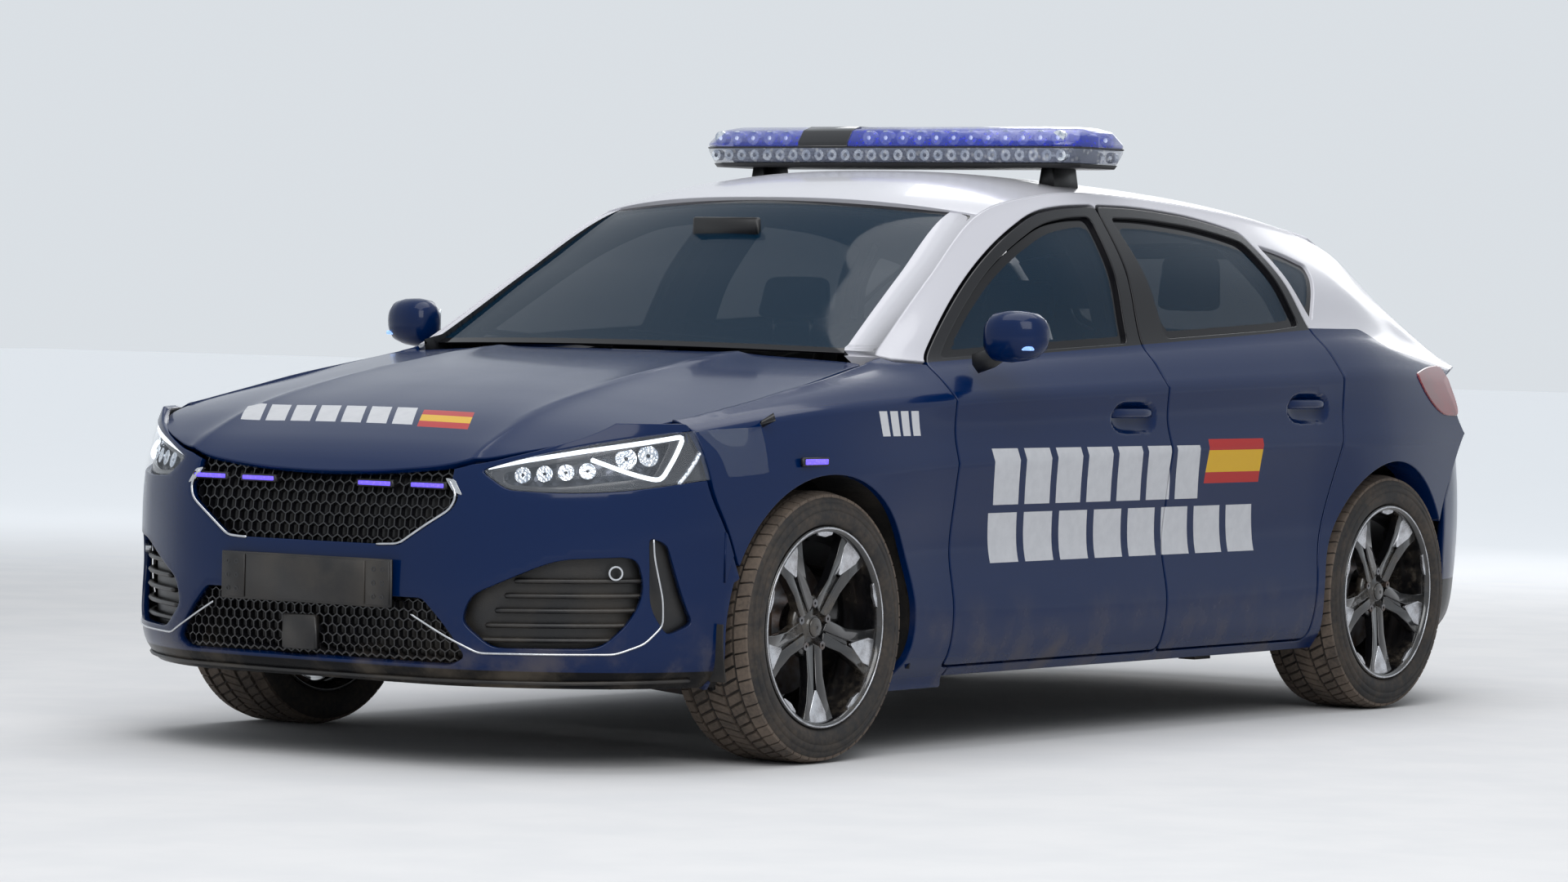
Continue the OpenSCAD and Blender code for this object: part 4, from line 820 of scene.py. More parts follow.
nose, tail = EndSkin(nose_plan, nose_back, 1), EndSkin(tail_plan, tail_back, -1)


def facing(outline):
    return np.array(outline, float) * [-1, 1]


def bonnet_edge_on_nose():
    """The edge of the bonnet on the nose, as heights over the way round it."""
    points = []
    for w in np.arange(-880, 881, 12.0):
        z = np.arange(575, 835, 1.0)
        p = nose(pairs(w, z))
        lifted = p[:, 0] + 0.3 * (bonnet_z(p[:, 0], p[:, 1]) - p[:, 2])
        under = inside(grown(bonnet_line, GAP), np.column_stack([lifted, p[:, 1]]))
        points.append([w, z[under].min() if under.any() else 840.0])
    return np.array(points)


bonnet_edge = bonnet_edge_on_nose()
bonnet_cut = curved(np.vstack([bonnet_edge, [[890, 1000], [-890, 1000]]]), 3, 10)
headlamp = curved(nose.laid(curved([[452, 692], [560, 728], [700, 766], [900, 812], [900, 700], [770, 652],
                                    [640, 642], [520, 648]], 14, 12), "y"), 5, 9)
grille_half = [[388, 700], [388, 660], [412, 632], [398, 600], [262, 514]]
grille_open = curved(nose.laid(grille_half + [[-y, z] for y, z in grille_half[::-1]], "y"), 14, 9)
low_half = [[330, 394], [395, 330], [440, 262], [400, 240]]
low_open = curved(nose.laid(low_half + [[-y, z] for y, z in low_half[::-1]], "y"), 14, 9)
intake = curved(nose.laid(curved([[452, 405], [600, 478], [640, 492], [762, 500], [775, 420], [752, 345],
                                  [705, 288], [500, 285], [430, 345]], 20, 14), "y"), 5, 9)
slot_open = curved(nose.laid(curved([[778, 545], [800, 530], [826, 345], [800, 318], [780, 380]], 10, 10),
                             "y"), 4, 7)
wing_side = [[1776, 806], [1774, 795]] + wing_shut[1:]
arch_turn = np.radians(np.arange(20, -26, -4))
front_arch = [[FRONT_AXLE + ARCH * math.cos(a), TYRE + ARCH * math.sin(a)] for a in arch_turn]
border_side = nose.laid(wing_side + front_arch, "x")
border_side[:len(wing_side), 0] -= GAP
end_w = float(border_side[-1][0])
bumper_line = np.vstack([border_side, [[end_w - 8, 192], [-end_w + 8, 192]], facing(border_side)[::-1]])
bumper_line = curved(bumper_line, 10, 12)
NOSE_GRID = plain_grid((-1150, 180), (1150, 860), 15)


def painted_above(height, bare):
    """Body colour above a height in metres; the foot below it is bare plastic without lacquer."""
    def recipe(place):
        foot = 1 - place.part("Z").ease(height, height + 0.003)
        values = lacquer(place, place.dye(foot, NAVY, bare))
        values["Coat Weight"] = (1 - foot) * COAT
        return values
    return recipe


bumper_paint = finish("bumper_paint", painted_above(0.232, (0.008, 0.008, 0.009)), **PAINT_GLOSS)
bumper = slab("front_bumper_skin", nose, NOSE_GRID, [bumper_line],
              [bonnet_cut, headlamp, facing(headlamp)[::-1], grille_open, low_open, intake,
               facing(intake)[::-1], slot_open, facing(slot_open)[::-1]], (0, 18), 3,
              materials=(bumper_paint, inner_panel), turn=-1)
fitted(bumper, "body", "front_bumper", "blue_paint")

# ---- Tail: rear bumper, tailgate and its window ----
# The tailgate hangs on two hinges in the roof: a white upper part with a spoiler over the window and
# a dark blue lower panel. The bumper cover below it is bolted to the rear quarters, with a black foot.
gate_middle = np.array([[0, -1462, 1380], [1, -1640, 1343], [2, -1800, 1304]], float)
gate_sides = np.array([[0, -1450, 545, 1300], [1, -1560, 540, 1258], [2, -1650, 534, 1222]], float)
glass_middle = np.array([[0, -1700, 1290], [1, -1840, 1196], [2, -1960, 1095], [3, -2050, 1002],
                         [3.4, -2090, 975]],
                        float)
glass_sides = np.array([[0, -1600, 540, 1240], [1, -1730, 558, 1160], [2, -1850, 588, 1072],
                        [3, -1970, 632, 985], [3.4, -1994, 642, 962]], float)


def gate_surface(middle, sides):
    """A surface between a middle line and its two sides, over points [way down, way across]."""
    def surface(p):
        v, u = p[:, 0] / 150, p[:, 1] / 600
        bow = 1 - np.abs(u) ** 2.2
        m = [along(middle[:, 0], middle[:, k], v) for k in (1, 2)]
        e = [along(sides[:, 0], sides[:, k], v) for k in (1, 2, 3)]
        return np.column_stack([e[0] + (m[0] - e[0]) * bow, e[1] * u, e[2] + (m[1] - e[2]) * bow])
    return surface


spoiler_surface, glass_surface = gate_surface(gate_middle, gate_sides), gate_surface(glass_middle,
                                                                                     glass_sides)


def gate_border(surface, way, limit=600, step=12):
    """How far across the tailgate goes at each way down a surface."""
    points = []
    for v in way:
        u = np.arange(300, limit, 1.0)
        p = surface(pairs(v, u))
        reach = np.hypot(p[:, 0] - GATE_HINGE_X, p[:, 2] - GATE_HINGE_Z)
        within = p[:, 1] < gate_half_width(reach) - GAP
        points.append([v, u[within].max() if within.any() else 300.0])
    return np.array(points)


def both(border):
    return np.vstack([border, (border * [1, -1])[::-1]])


def gate_paint(place):
    return lacquer(place, place.dye(place.part("Z") < 0.985, WHITE, NAVY))


paint_gate = finish("tailgate_paint", gate_paint, **PAINT_GLOSS)
spoiler = slab("tailgate_spoiler", spoiler_surface, plain_grid((0, -600), (300, 600), 18),
               [curved(both(gate_border(spoiler_surface, np.arange(4, 300, 12.0))), 12, 12)], [], (0, 20), 4,
               materials=(paint_gate, inner_panel))
fitted(spoiler, "tailgate", "tailgate", "white_paint")
glass_hole = []
for y, z in curved([[250, 1256], [400, 1246], [452, 1215], [520, 1060], [470, 1030], [0, 1018], [-470, 1030],
                    [-520, 1060], [-452, 1215], [-400, 1246], [-250, 1256], [0, 1262]], 20, 16):
    v, u = 150.0, y
    for _ in range(40):
        p = glass_surface(np.array([[v, u]]))[0]
        v, u = float(np.clip(v + (p[2] - z) * 1.1, 0, 505)), float(np.clip(u + (y - p[1]) * 0.9, -590, 590))
    glass_hole.append([v, u])
glass_hole = curved(glass_hole, 4, 10)
frame_edge = both(gate_border(glass_surface, np.arange(6, 505, 12.0)))
GLASS_GRID = plain_grid((0, -600), (510, 600), 16)
gate_frame = slab("tailgate_window_frame", glass_surface, GLASS_GRID, [curved(frame_edge, 10, 12)],
                  [glass_hole], (0, 20), 3, materials=(paint_gate, inner_panel))
fitted(gate_frame, "tailgate", None, "white_paint")
rear_glass = slab("tailgate_window", glass_surface, GLASS_GRID, [grown(glass_hole, -1)], [], (3, 8), 1,
                  materials=(tinted,))
fitted(rear_glass, "tailgate", "tailgate_glass", "tinted_glass")


def lower_gate_border():
    points = []
    for z in np.arange(655, 965, 10.0):
        w = np.arange(200, 1000, 1.0)
        p = tail(pairs(w, z))
        reach = np.hypot(p[:, 0] - GATE_HINGE_X, p[:, 2] - GATE_HINGE_Z)
        within = p[:, 1] < gate_half_width(reach) - GAP
        points.append([w[within].max(), z])
    return np.array(points)


lower_edge = lower_gate_border()
lower_line = curved(np.vstack([lower_edge, facing(lower_edge)[::-1]]), 14, 12)
TAIL_GRID = plain_grid((-1150, 190), (1150, 975), 15)


def plate_recess(q):
    """The shallow well for the rear number plate, which stays blank."""
    inset = np.minimum(262 - np.abs(q[:, 0]), 61 - np.abs(q[:, 1] - 751))
    return 14 * np.clip(inset / 14, 0, 1) ** 0.7


gate_low = slab("tailgate_lower_skin", tail, TAIL_GRID, [lower_line], [], (plate_recess, 34), 4,
                materials=(paint_gate, inner_panel))
fitted(gate_low, "tailgate", None, "blue_paint")


lamp_on_tail = curved(tail.laid(curved([[-1802, 905], [-1835, 800], [-1880, 758], [-2140, 740], [-2140, 944],
                                        [-1960, 938]], 12, 12), "x"), 5, 9)
wide_gate = grown(lower_line, 2 * GAP)
rear_turn = np.radians(np.arange(-24, 18, 4))
rear_arch = [[REAR_AXLE - ARCH * math.cos(a), TYRE + ARCH * math.sin(a)] for a in rear_turn]
rear_side = tail.laid(rear_arch + [[-1700, 575], [-1763, 640], [-1831, 712], [-1883, 756], [-1960, 752],
                                   [-2100, 738]], "x")
rear_side[:, 0] -= GAP
rear_line = curved(np.vstack([[[rear_side[0][0] - 8, 202]], rear_side, facing(rear_side)[::-1],
                              [[8 - rear_side[0][0], 202]]]), 10, 12)
rear_paint = finish("rear_bumper_paint", painted_above(0.345, (0.01, 0.01, 0.011)), **PAINT_GLOSS)
rear_bumper = slab("rear_bumper_skin", tail, TAIL_GRID, [rear_line], [wide_gate], (0, 18), 3,
                   materials=(rear_paint, inner_panel))
fitted(rear_bumper, "body", "rear_bumper", "blue_paint")

# ---- Grilles, plate holder and nose lamps ----
# Black moulded honeycomb meshes clipped behind the bumper's openings, blades in the side intakes with a
# bright rim, a blank plate holder with its holes, a radar cover, and blue flashers on the grille and wings.
plastic = finish("black_moulded_plastic", moulded((0.007, 0.007, 0.008), 0.42, 500.0, 0.0002, 0.3))
gloss_black = finish("gloss_black_plastic", lambda place: lacquer(place, BLACK, 0.3))
chrome = finish("satin_chrome", lambda place: {
    "Base Color": place.dye(place.noise(60.0).ease(0.3, 0.7), (0.62, 0.63, 0.65), (0.5, 0.51, 0.53)),
    "Roughness": place.noise(25.0, 4) * 0.16 + 0.12, "Metallic": 1.0})


def socket_name(modifier, title):
    """The identifier of a named input of a modifier's node group."""
    return next(item.identifier for item in modifier.node_group.interface.items_tree
                if item.item_type == "SOCKET" and item.in_out == "INPUT" and item.name == title)


def repeat_tree():
    """Puts one item on every given place, turned by that place's own angles, all in one material."""
    tree = bpy.data.node_groups.new("repeat_item", "GeometryNodeTree")
    for title, kind in (("Places", "NodeSocketGeometry"), ("Item", "NodeSocketObject"),
                        ("Item Size", "NodeSocketFloat"), ("Finish", "NodeSocketMaterial")):
        tree.interface.new_socket(title, in_out="INPUT", socket_type=kind)
    tree.interface.new_socket("Result", in_out="OUTPUT", socket_type="NodeSocketGeometry")
    start, end, item, spread, turn, angle, whole, painted = [tree.nodes.new(kind) for kind in (
        "NodeGroupInput", "NodeGroupOutput", "GeometryNodeObjectInfo", "GeometryNodeInstanceOnPoints",
        "GeometryNodeInputNamedAttribute", "FunctionNodeEulerToRotation", "GeometryNodeRealizeInstances",
        "GeometryNodeSetMaterial")]
    turn.data_type = "FLOAT_VECTOR"
    turn.inputs["Name"].default_value = "turn"
    for a, b in ((start.outputs["Places"], spread.inputs["Points"]),
                 (start.outputs["Item"], item.inputs["Object"]),
                 (item.outputs["Geometry"], spread.inputs["Instance"]), (turn.outputs[0], angle.inputs[0]),
                 (angle.outputs[0], spread.inputs["Rotation"]),
                 (start.outputs["Item Size"], spread.inputs["Scale"]),
                 (spread.outputs[0], whole.inputs[0]), (whole.outputs[0], painted.inputs["Geometry"]),
                 (start.outputs["Finish"], painted.inputs["Material"]),
                 (painted.outputs[0], end.inputs[0])):
        tree.links.new(a, b)
    return tree


repeat_item = repeat_tree()


def repeated(name, item, places, turns, material, size=1.0):
    """A mesh of the item at every place (millimetres) with its Euler turns; the item is used up."""
    mesh = bpy.data.meshes.new(name + "_places")
    mesh.from_pydata((np.array(places, float) * 0.001).tolist(), [], [])
    mesh.attributes.new("turn", "FLOAT_VECTOR", "POINT").data.foreach_set(
        "vector", np.broadcast_to(np.array(turns, float), (len(places), 3)).ravel())
    carrier = bpy.data.objects.new(name + "_places", mesh)
    bpy.context.scene.collection.objects.link(carrier)
    modifier = carrier.modifiers.new("repeat", "NODES")
    modifier.node_group = repeat_item
    for title, value in (("Item", item), ("Item Size", size), ("Finish", material)):
        modifier[socket_name(modifier, title)] = value
    shown = carrier.evaluated_get(bpy.context.evaluated_depsgraph_get())
    made = bpy.data.meshes.new_from_object(shown)
    made.name = name
    piece = linked(name, made)
    bpy.data.objects.remove(carrier)
    bpy.data.objects.remove(item)
    return piece


def solid(name, points, faces, material=None, smooth=False):
    mesh = bpy.data.meshes.new(name)
    mesh.from_pydata((np.array(points, float) * 0.001).tolist(), [], faces)
    if material:
        mesh.materials.append(material)
    if smooth:
        mesh.shade_smooth()
    return linked(name, mesh)


def applied(piece):
    """The piece with its modifiers made part of its mesh."""
    made = bpy.data.meshes.new_from_object(piece.evaluated_get(bpy.context.evaluated_depsgraph_get()))
    piece.modifiers.clear()
    piece.data = made
    return piece


def soft_edged(piece, width, segments=2, angle=35):
    """Rounds the sharp edges of a piece and shades it smooth."""
    bevel = piece.modifiers.new("rounded_edges", "BEVEL")
    bevel.width, bevel.segments, bevel.limit_method = width * 0.001, segments, "ANGLE"
    bevel.angle_limit = math.radians(angle)
    bevel.harden_normals = True
    applied(piece).data.shade_smooth()
    return piece


BOX_FACES = [(0, 3, 2, 1), (4, 5, 6, 7), (0, 1, 5, 4), (1, 2, 6, 5), (2, 3, 7, 6), (3, 0, 4, 7)]


def box_points(a, b, taper=0.0):
    """Corners of a box; its top may be drawn in by a taper."""
    return [(a[0], a[1], a[2]), (b[0], a[1], a[2]), (b[0], b[1], a[2]), (a[0], b[1], a[2]),
            (a[0] + taper, a[1] + taper, b[2]), (b[0] - taper, a[1] + taper, b[2]),
            (b[0] - taper, b[1] - taper, b[2]), (a[0] + taper, b[1] - taper, b[2])]


def rounded_box(name, a, b, material, edge=3.0, taper=0.0):
    return soft_edged(solid(name, box_points(a, b, taper), BOX_FACES, material), edge)


def tube_item(name, radius, wall, depth, sides):
    """A short open ring with the given number of sides, its axis along Z."""
    a = np.linspace(0, 2 * math.pi, sides, endpoint=False) + math.pi / 6
    points, faces = [], []
    for r, z in ((radius, -depth / 2), (radius, depth / 2), (radius - wall, depth / 2),
                 (radius - wall, -depth / 2)):
        points += [(r * math.cos(k), r * math.sin(k), z) for k in a]
    for ring in range(4):
        for k in range(sides):
            b, c = (ring + 1) % 4, (k + 1) % sides
            faces.append((ring * sides + k, ring * sides + c, b * sides + c, b * sides + k))
    return solid(name, points, faces)


def turn_to(normals):
    """Euler turns that take Z to each normal."""
    return [tuple(Vector(n).to_track_quat("Z", "Y").to_euler()) for n in normals]


def on_nose(points, depth=0.0):
    p = np.array(points, float)
    normal = -normals_of(nose, p)
    return nose(p) - normal * depth, normal


def mesh_panel(name, opening, pitch, depth, grow=6):
    """A honeycomb mesh in an opening of the nose, with a dark backing behind it."""
    low, high = opening.min(0), opening.max(0)
    rows = []
    for r, z in enumerate(np.arange(low[1], high[1], pitch * 0.866)):
        rows += [(w, z) for w in np.arange(low[0] + (r % 2) * pitch / 2, high[0], pitch)]
    points = np.array(rows)
    points = points[inside(grown(opening, grow), points)]
    place, normal = on_nose(points, depth)
    cells = repeated(name, tube_item("honeycomb_cell", pitch / math.sqrt(3) * 1.03, 2.4, 16, 6), place,
                     turn_to(normal), gloss_black)
    fitted(cells)
    backing = slab(name + "_backing", nose, NOSE_GRID[::3], [grown(opening, 10)], [],
                   (depth + 14, depth + 20), 1, turn=-1, materials=(plastic,), spacing=14)
    return fitted(backing)


upper_backing = mesh_panel("upper_grille_mesh", grille_open[grille_open[:, 1] < 900], 30, 24)
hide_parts("front_grilles")
mesh_panel("lower_grille_mesh", low_open, 26, 24)


def trim(name, way_height, radius, depth=-1.0, material=chrome, sides=8, flat=1.0):
    """A thin rounded strip along a line on the nose."""
    line = np.array(way_height, float)
    dense = []
    for a, b in zip(line[:-1], line[1:]):
        count = max(1, int(np.linalg.norm(b - a) / 10))
        dense += [a + (b - a) * k / count for k in range(count)]
    dense = np.array(dense + [line[-1]])
    for _ in range(2):
        dense[1:-1] = dense[1:-1] * 0.5 + (dense[:-2] + dense[2:]) * 0.25
    fitted(sweep(name, on_nose(dense, depth)[0], radius, sides, material, flat))


for s, hand in HANDS:
    trim(f"grille_end_{hand}", [[s * 386, 664], [s * 410, 634], [s * 396, 600], [s * 330, 560],
                                [s * 262, 516], [s * 200, 513]], 3.2, -0.5)
    wedge = curved([[s * 372, 672], [s * 398, 640], [s * 424, 632], [s * 400, 668]], 4, 5)
    fitted(slab(f"grille_corner_{hand}", nose, np.array([[s * 402.0, 652.0]]), [wedge], [], (-1, 8), 1,
                turn=-1, materials=(chrome,), spacing=2))
    trim(f"intake_rim_{hand}", [[s * 304, 356], [s * 400, 308], [s * 480, 273], [s * 640, 274],
                                [s * 800, 276],
                                [s * 868, 300], [s * 912, 342], [s * 908, 404], [s * 884, 500],
                                [s * 880, 540]],
         2.6, -1.0)
    for k, z in enumerate(np.linspace(302, 440, 5)):
        path = np.array([[s * w, z + (w - 500) * 0.012] for w in np.linspace(470 + k * 22, 880 - k * 3, 30)])
        fitted(sweep(f"intake_blade_{hand}_{k}", on_nose(path, 26)[0], 9, 8, plastic, 0.7))
    for part, opening, spread, depth in (("intake_pocket", intake, 9, 40), ("slot_pocket", slot_open, 7, 22)):
        fitted(slab(f"{part}_{hand}", nose, NOSE_GRID[::3],
                    [grown(opening if s > 0 else facing(opening)[::-1], spread)], [], (depth, depth + 6), 1,
                    turn=-1, materials=(plastic,), spacing=14))
    fog_at, fog_normal = on_nose([[s * 795, 462]], 16)
    fitted(repeated(f"intake_lamp_{hand}", tube_item("lamp_ring", 17, 4, 14, 20), fog_at, turn_to(fog_normal),
                    chrome))
trim("splitter_edge", [[-1010, 214], [-700, 208], [0, 206], [700, 208], [1010, 214]], 7, -1.5, plastic,
     flat=0.7)
fitted(rounded_box("radar_cover", (2166, -80, 258), (2184, 24, 340), plastic, 5))

(x0, _, z0), (x1, _, z1) = [np.array(corner) * 1000 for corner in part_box("plate_holder")]
holder = rounded_box("plate_holder_body", (x0, -260, z0), (x1 - 3.5, 260, z1), plastic, 3)
fitted(holder, "body", "plate_holder", "grey_plastic")
for k, (ya, yb) in enumerate(((-256, -186), (-182, 182), (186, 256))):
    fitted(rounded_box(f"plate_holder_face_{k}", (x1 - 4.5, ya, z0 + 5), (x1 - 0.2, yb, z1 - 5), plastic,
                       1.6))
holes = [(x1 - 0.4, y, z0 + 56 + dz) for y in (-236, -210, 210, 236) for dz in (-32, 0, 32)]
fitted(repeated("plate_holder_holes", tube_item("hole_rim", 6, 2.4, 1.4, 16), holes, (0, math.pi / 2, 0),
                gloss_black))


def glowing(colour, strength, deep=(0.02, 0.02, 0.03)):
    """A lit lens: bright cells under a slightly uneven cover."""
    def recipe(place):
        spots = place.cells(150.0).ease(0.0, 0.5, 1.0, 0.55)
        return {"Base Color": place.dye(spots, deep, colour),
                "Emission Color": place.dye(spots, deep, colour), "Roughness": spots * 0.1 + 0.15}
    return finish("lit_" + str(round(sum(colour) * 100)), recipe, emission_strength=strength)


lit_violet = glowing((0.16, 0.10, 1.0), 1.6)
lit_white = glowing((0.9, 0.95, 1.0), 1.5, (0.5, 0.55, 0.6))
lit_blue = glowing((0.25, 0.45, 1.0), 1.8)
for k, w in enumerate((-352, -190, 168, 322)):
    place_at, normal = on_nose([[w, 654]], 6)
    x, y, z = place_at[0]
    case = rounded_box(f"flasher_case_{k}", (x - 16, y - 55, z - 9), (x - 1, y + 55, z + 9), plastic, 3)
    lens = rounded_box(f"flasher_lens_{k}", (x - 6, y - 48, z - 5), (x + 2, y + 48, z + 5), lit_violet, 2)
    fitted(case)
    fitted(lens, "body", *(("warning_lights", "lamp_blue") if k == 0 else ()))
for s, hand in HANDS:
    fitted(rounded_box(f"wing_flasher_case_{hand}", (1352, s * 889 - 5, 706), (1458, s * 889 + 5, 727),
                       plastic, 3))
    fitted(rounded_box(f"wing_flasher_lens_{hand}", (1360, s * 892 - 5, 710), (1450, s * 892 + 5, 723),
                       lit_violet, 2))

# ---- Headlamps ----
# Each is a sealed unit: a clear moulded cover over a dark tub and a black bezel, a white light guide bent
# round like a tick, a row of four small lenses and two larger projectors.
clear = finish("clear_lamp_cover", lambda place: {
    "Base Color": place.dye(place.noise(9.0).ease(0.4, 0.7), (0.55, 0.6, 0.68), (0.4, 0.45, 0.52)),
    "Alpha": place.noise(9.0).ease(0.3, 0.8, 0.06, 0.1), "Roughness": place.noise(30.0) * 0.05 + 0.01},
    coat_weight=1.0, coat_roughness=0.01)
tub = finish("lamp_tub", lambda place: {
    "Base Color": place.dye(place.cells(45.0).ease(0.1, 0.6), (0.12, 0.13, 0.16), (0.015, 0.018, 0.025)),
    "Roughness": place.noise(18.0) * 0.2 + 0.15, "Metallic": 0.7, "Height": (place.cells(70.0), 0.002)})
reflector = finish("bright_reflector", lambda place: {
    "Base Color": place.dye(place.noise(50.0).ease(0.4, 0.6), (0.85, 0.88, 0.92), (0.45, 0.5, 0.58)),
    "Roughness": place.noise(18.0) * 0.1 + 0.05, "Metallic": 0.95, "Height": (place.cells(160.0), 0.001)})
light_guide = [[474, 701], [560, 718], [716, 744], [850, 763], [968, 780], [934, 726], [897, 675], [850, 684],
               [804, 697], [724, 723]]
for s, hand in HANDS:
    outline = grown(headlamp, -0.6) if s > 0 else facing(grown(headlamp, -0.6))[::-1]
    near = plain_grid((outline[:, 0].min(), 630), (outline[:, 0].max(), 850), 12)
    cover = slab(f"headlamp_cover_{hand}", nose, near, [outline], [], (0, 3), 2, turn=-1, materials=(clear,))
    fitted(cover, "body", "headlamps" if s > 0 else None, "lamp_clear")
    fitted(slab(f"headlamp_tub_{hand}", nose, near, [grown(outline, -2)], [], (46, 52), 1, turn=-1,
                materials=(tub,)))
    bezel_hole = curved([[s * 520, 664], [s * 512, 690], [s * 700, 728], [s * 930, 768], [s * 880, 684],
                         [s * 760, 672], [s * 640, 656]], 12, 9)
    fitted(slab(f"headlamp_bezel_{hand}", nose, near, [grown(outline, -2)], [bezel_hole], (16, 44), 2,
                turn=-1, materials=(gloss_black,)))
    trim(f"headlamp_guide_{hand}", [[s * w, z] for w, z in light_guide], 5.5, 11, lit_white, sides=10)
    trim(f"headlamp_side_guide_{hand}", [[s * 1046, 794], [s * 1004, 730], [s * 948, 668]], 9, 14, reflector,
         sides=8, flat=0.6)
    cups = [[s * w, z] for w, z in ((560, 686), (612, 690), (664, 694), (716, 698))]
    at_cup, cup_normal = on_nose(cups, 26)
    fitted(repeated(f"headlamp_lenses_{hand}", tube_item("lens_cup", 19, 15, 22, 18), at_cup,
                    turn_to(cup_normal), reflector))
    at_main, main_normal = on_nose([[s * 810, 728], [s * 868, 735]], 30)
    fitted(repeated(f"headlamp_projectors_{hand}", tube_item("projector", 25, 20, 24, 24), at_main,
                    turn_to(main_normal), reflector))

# ---- Tail lamps ----
# Red moulded covers wrap round the rear corners on to the sides; each closes a dark tub in which a lit
# guide is bent back on itself, and is bolted to the body beside the tailgate.
red_cover = finish("red_lamp_cover", lambda place: {
    "Base Color": place.dye(place.noise(9.0).ease(0.4, 0.7), (0.36, 0.006, 0.008), (0.22, 0.003, 0.005)),
    "Alpha": place.noise(9.0).ease(0.3, 0.8, 0.72, 0.8), "Roughness": place.noise(30.0) * 0.05 + 0.03},
    coat_weight=1.0, coat_roughness=0.02)
lit_red = glowing((1.0, 0.03, 0.02), 0.8, (0.2, 0.0, 0.0))
lamp_on_side = [[-1560, 926], [-1690, 944], [-1836, 948], [-1832, 806], [-1706, 808], [-1620, 852]]


def on_tail(points, depth=0.0):
    p = np.array(points, float)
    normal = normals_of(tail, p)
    return tail(p) - normal * depth, normal


for s, hand in HANDS:
    outline = grown(lamp_on_tail, -1.2)
    outline = outline if s > 0 else facing(outline)[::-1]
    near = plain_grid((min(outline[:, 0]), 735), (max(outline[:, 0]), 950), 12)
    cover = slab(f"tail_lamp_cover_{hand}", tail, near, [outline], [wide_gate], (0, 4), 2.5,
                 materials=(red_cover,))
    fitted(cover, "body", "tail_lamps" if s > 0 else None, "lamp_red")
    fitted(slab(f"tail_lamp_tub_{hand}", tail, near, [grown(outline, -2)], [grown(wide_gate, 2)], (26, 32), 1,
                materials=(tub,)))
    fitted(slab(f"tail_lamp_end_{hand}", side, side_points, [curved(lamp_on_side, 24, 8)], [], (-4, 1), 3,
                mirrored=s < 0, materials=(red_cover,)))
    edge_w = float(np.abs(outline[:, 0]).max())
    guide = np.array([[s * (edge_w - 35), 900], [s * (edge_w - 150), 905], [s * (edge_w - 260), 905],
                      [s * (edge_w - 190), 800], [s * (edge_w - 60), 805]])
    fitted(sweep(f"tail_lamp_guide_{hand}", on_tail(guide, 14)[0], 6, 8, lit_red))

# ---- Road wheels ----
# Cast alloy wheels in gloss black, five broad spokes with a machined silver face at each outer end, slim
# machined slivers between them on the rim, a plain centre cap and five bolts; brake discs behind.
def wheel_paint(place):
    dust = (place.noise(7.0, 5) + place.noise(60.0, 4) * 0.5).ease(0.7, 1.15)
    return {"Base Color": place.dye(dust * 0.5, (0.006, 0.006, 0.007), DUST),
            "Roughness": dust * 0.35 + 0.13, "Coat Weight": dust * -0.7 + 0.9}


wheel_black = finish("wheel_gloss_black", wheel_paint, coat_roughness=0.04)
machined = finish("machined_alloy", lambda place: {
    "Base Color": place.dye(place.noise(30.0, 4).ease(0.35, 0.75), (0.62, 0.63, 0.66), (0.36, 0.35, 0.36)),
    "Roughness": place.noise(90.0, 3) * 0.15 + 0.2, "Metallic": place.noise(20.0).ease(0.2, 0.8, 0.95, 0.8),
    "Height": (place.noise(900.0, 2), 0.00005)})
disc_iron = finish("brake_disc_iron", lambda place: {
    "Base Color": place.dye(place.noise(25.0, 5).ease(0.35, 0.7), (0.2, 0.2, 0.21), (0.1, 0.06, 0.04)),
    "Roughness": place.noise(60.0, 4) * 0.3 + 0.25, "Metallic": 0.85,
    "Height": (place.noise(700.0, 2), 0.00008)})


def lathe(name, profile, centre, side, material, steps=96):
    """Turns a closed (radius, offset outwards) profile about the wheel's axis."""
    profile = np.array(profile, float)
    a = np.linspace(0, 2 * math.pi, steps, endpoint=False)
    points = np.stack([centre[0] + np.outer(np.cos(a), profile[:, 0]),
                       centre[1] + side * np.broadcast_to(profile[:, 1], (steps, len(profile))),
                       centre[2] + np.outer(np.sin(a), profile[:, 0])], 2).reshape(-1, 3)
    n, faces = len(profile), []
    for i in range(steps):
        for k in range(n):
            j, m = (i + 1) % steps, (k + 1) % n
            face = (i * n + k, i * n + m, j * n + m, j * n + k)
            faces.append(face if side > 0 else face[::-1])
    return solid(name, points, faces, material, smooth=True)


def plate_on_wheel(name, outline, low, high, centre, side, material, edge):
    """A closed block from an outline in the wheel's plane; low and high give offsets outwards per point."""
    n = len(outline)
    low, high = np.broadcast_to(low, n), np.broadcast_to(high, n)
    rows = [(centre[0] + x, centre[1] + side * o, centre[2] + z)
            for offsets in (low, high) for (x, z), o in zip(outline, offsets)]
    faces = [tuple(range(n)), tuple(range(2 * n - 1, n - 1, -1))]
    faces += [(k, n + k, n + (k + 1) % n, (k + 1) % n) for k in range(n)]
    area = sum(a[0] * b[1] - a[1] * b[0] for a, b in zip(outline, np.roll(outline, -1, 0)))
    if (area > 0) == (side > 0):
        faces = [f[::-1] for f in faces]
    return soft_edged(solid(name, rows, faces, material), edge)


def middle_of(node):
    """The middle of a CAD node's box, in millimetres."""
    return np.mean([tuple(corner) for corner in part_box(node)], 0) * 1000


def polar(r, degrees):
    return r * math.cos(math.radians(degrees)), r * math.sin(math.radians(degrees))


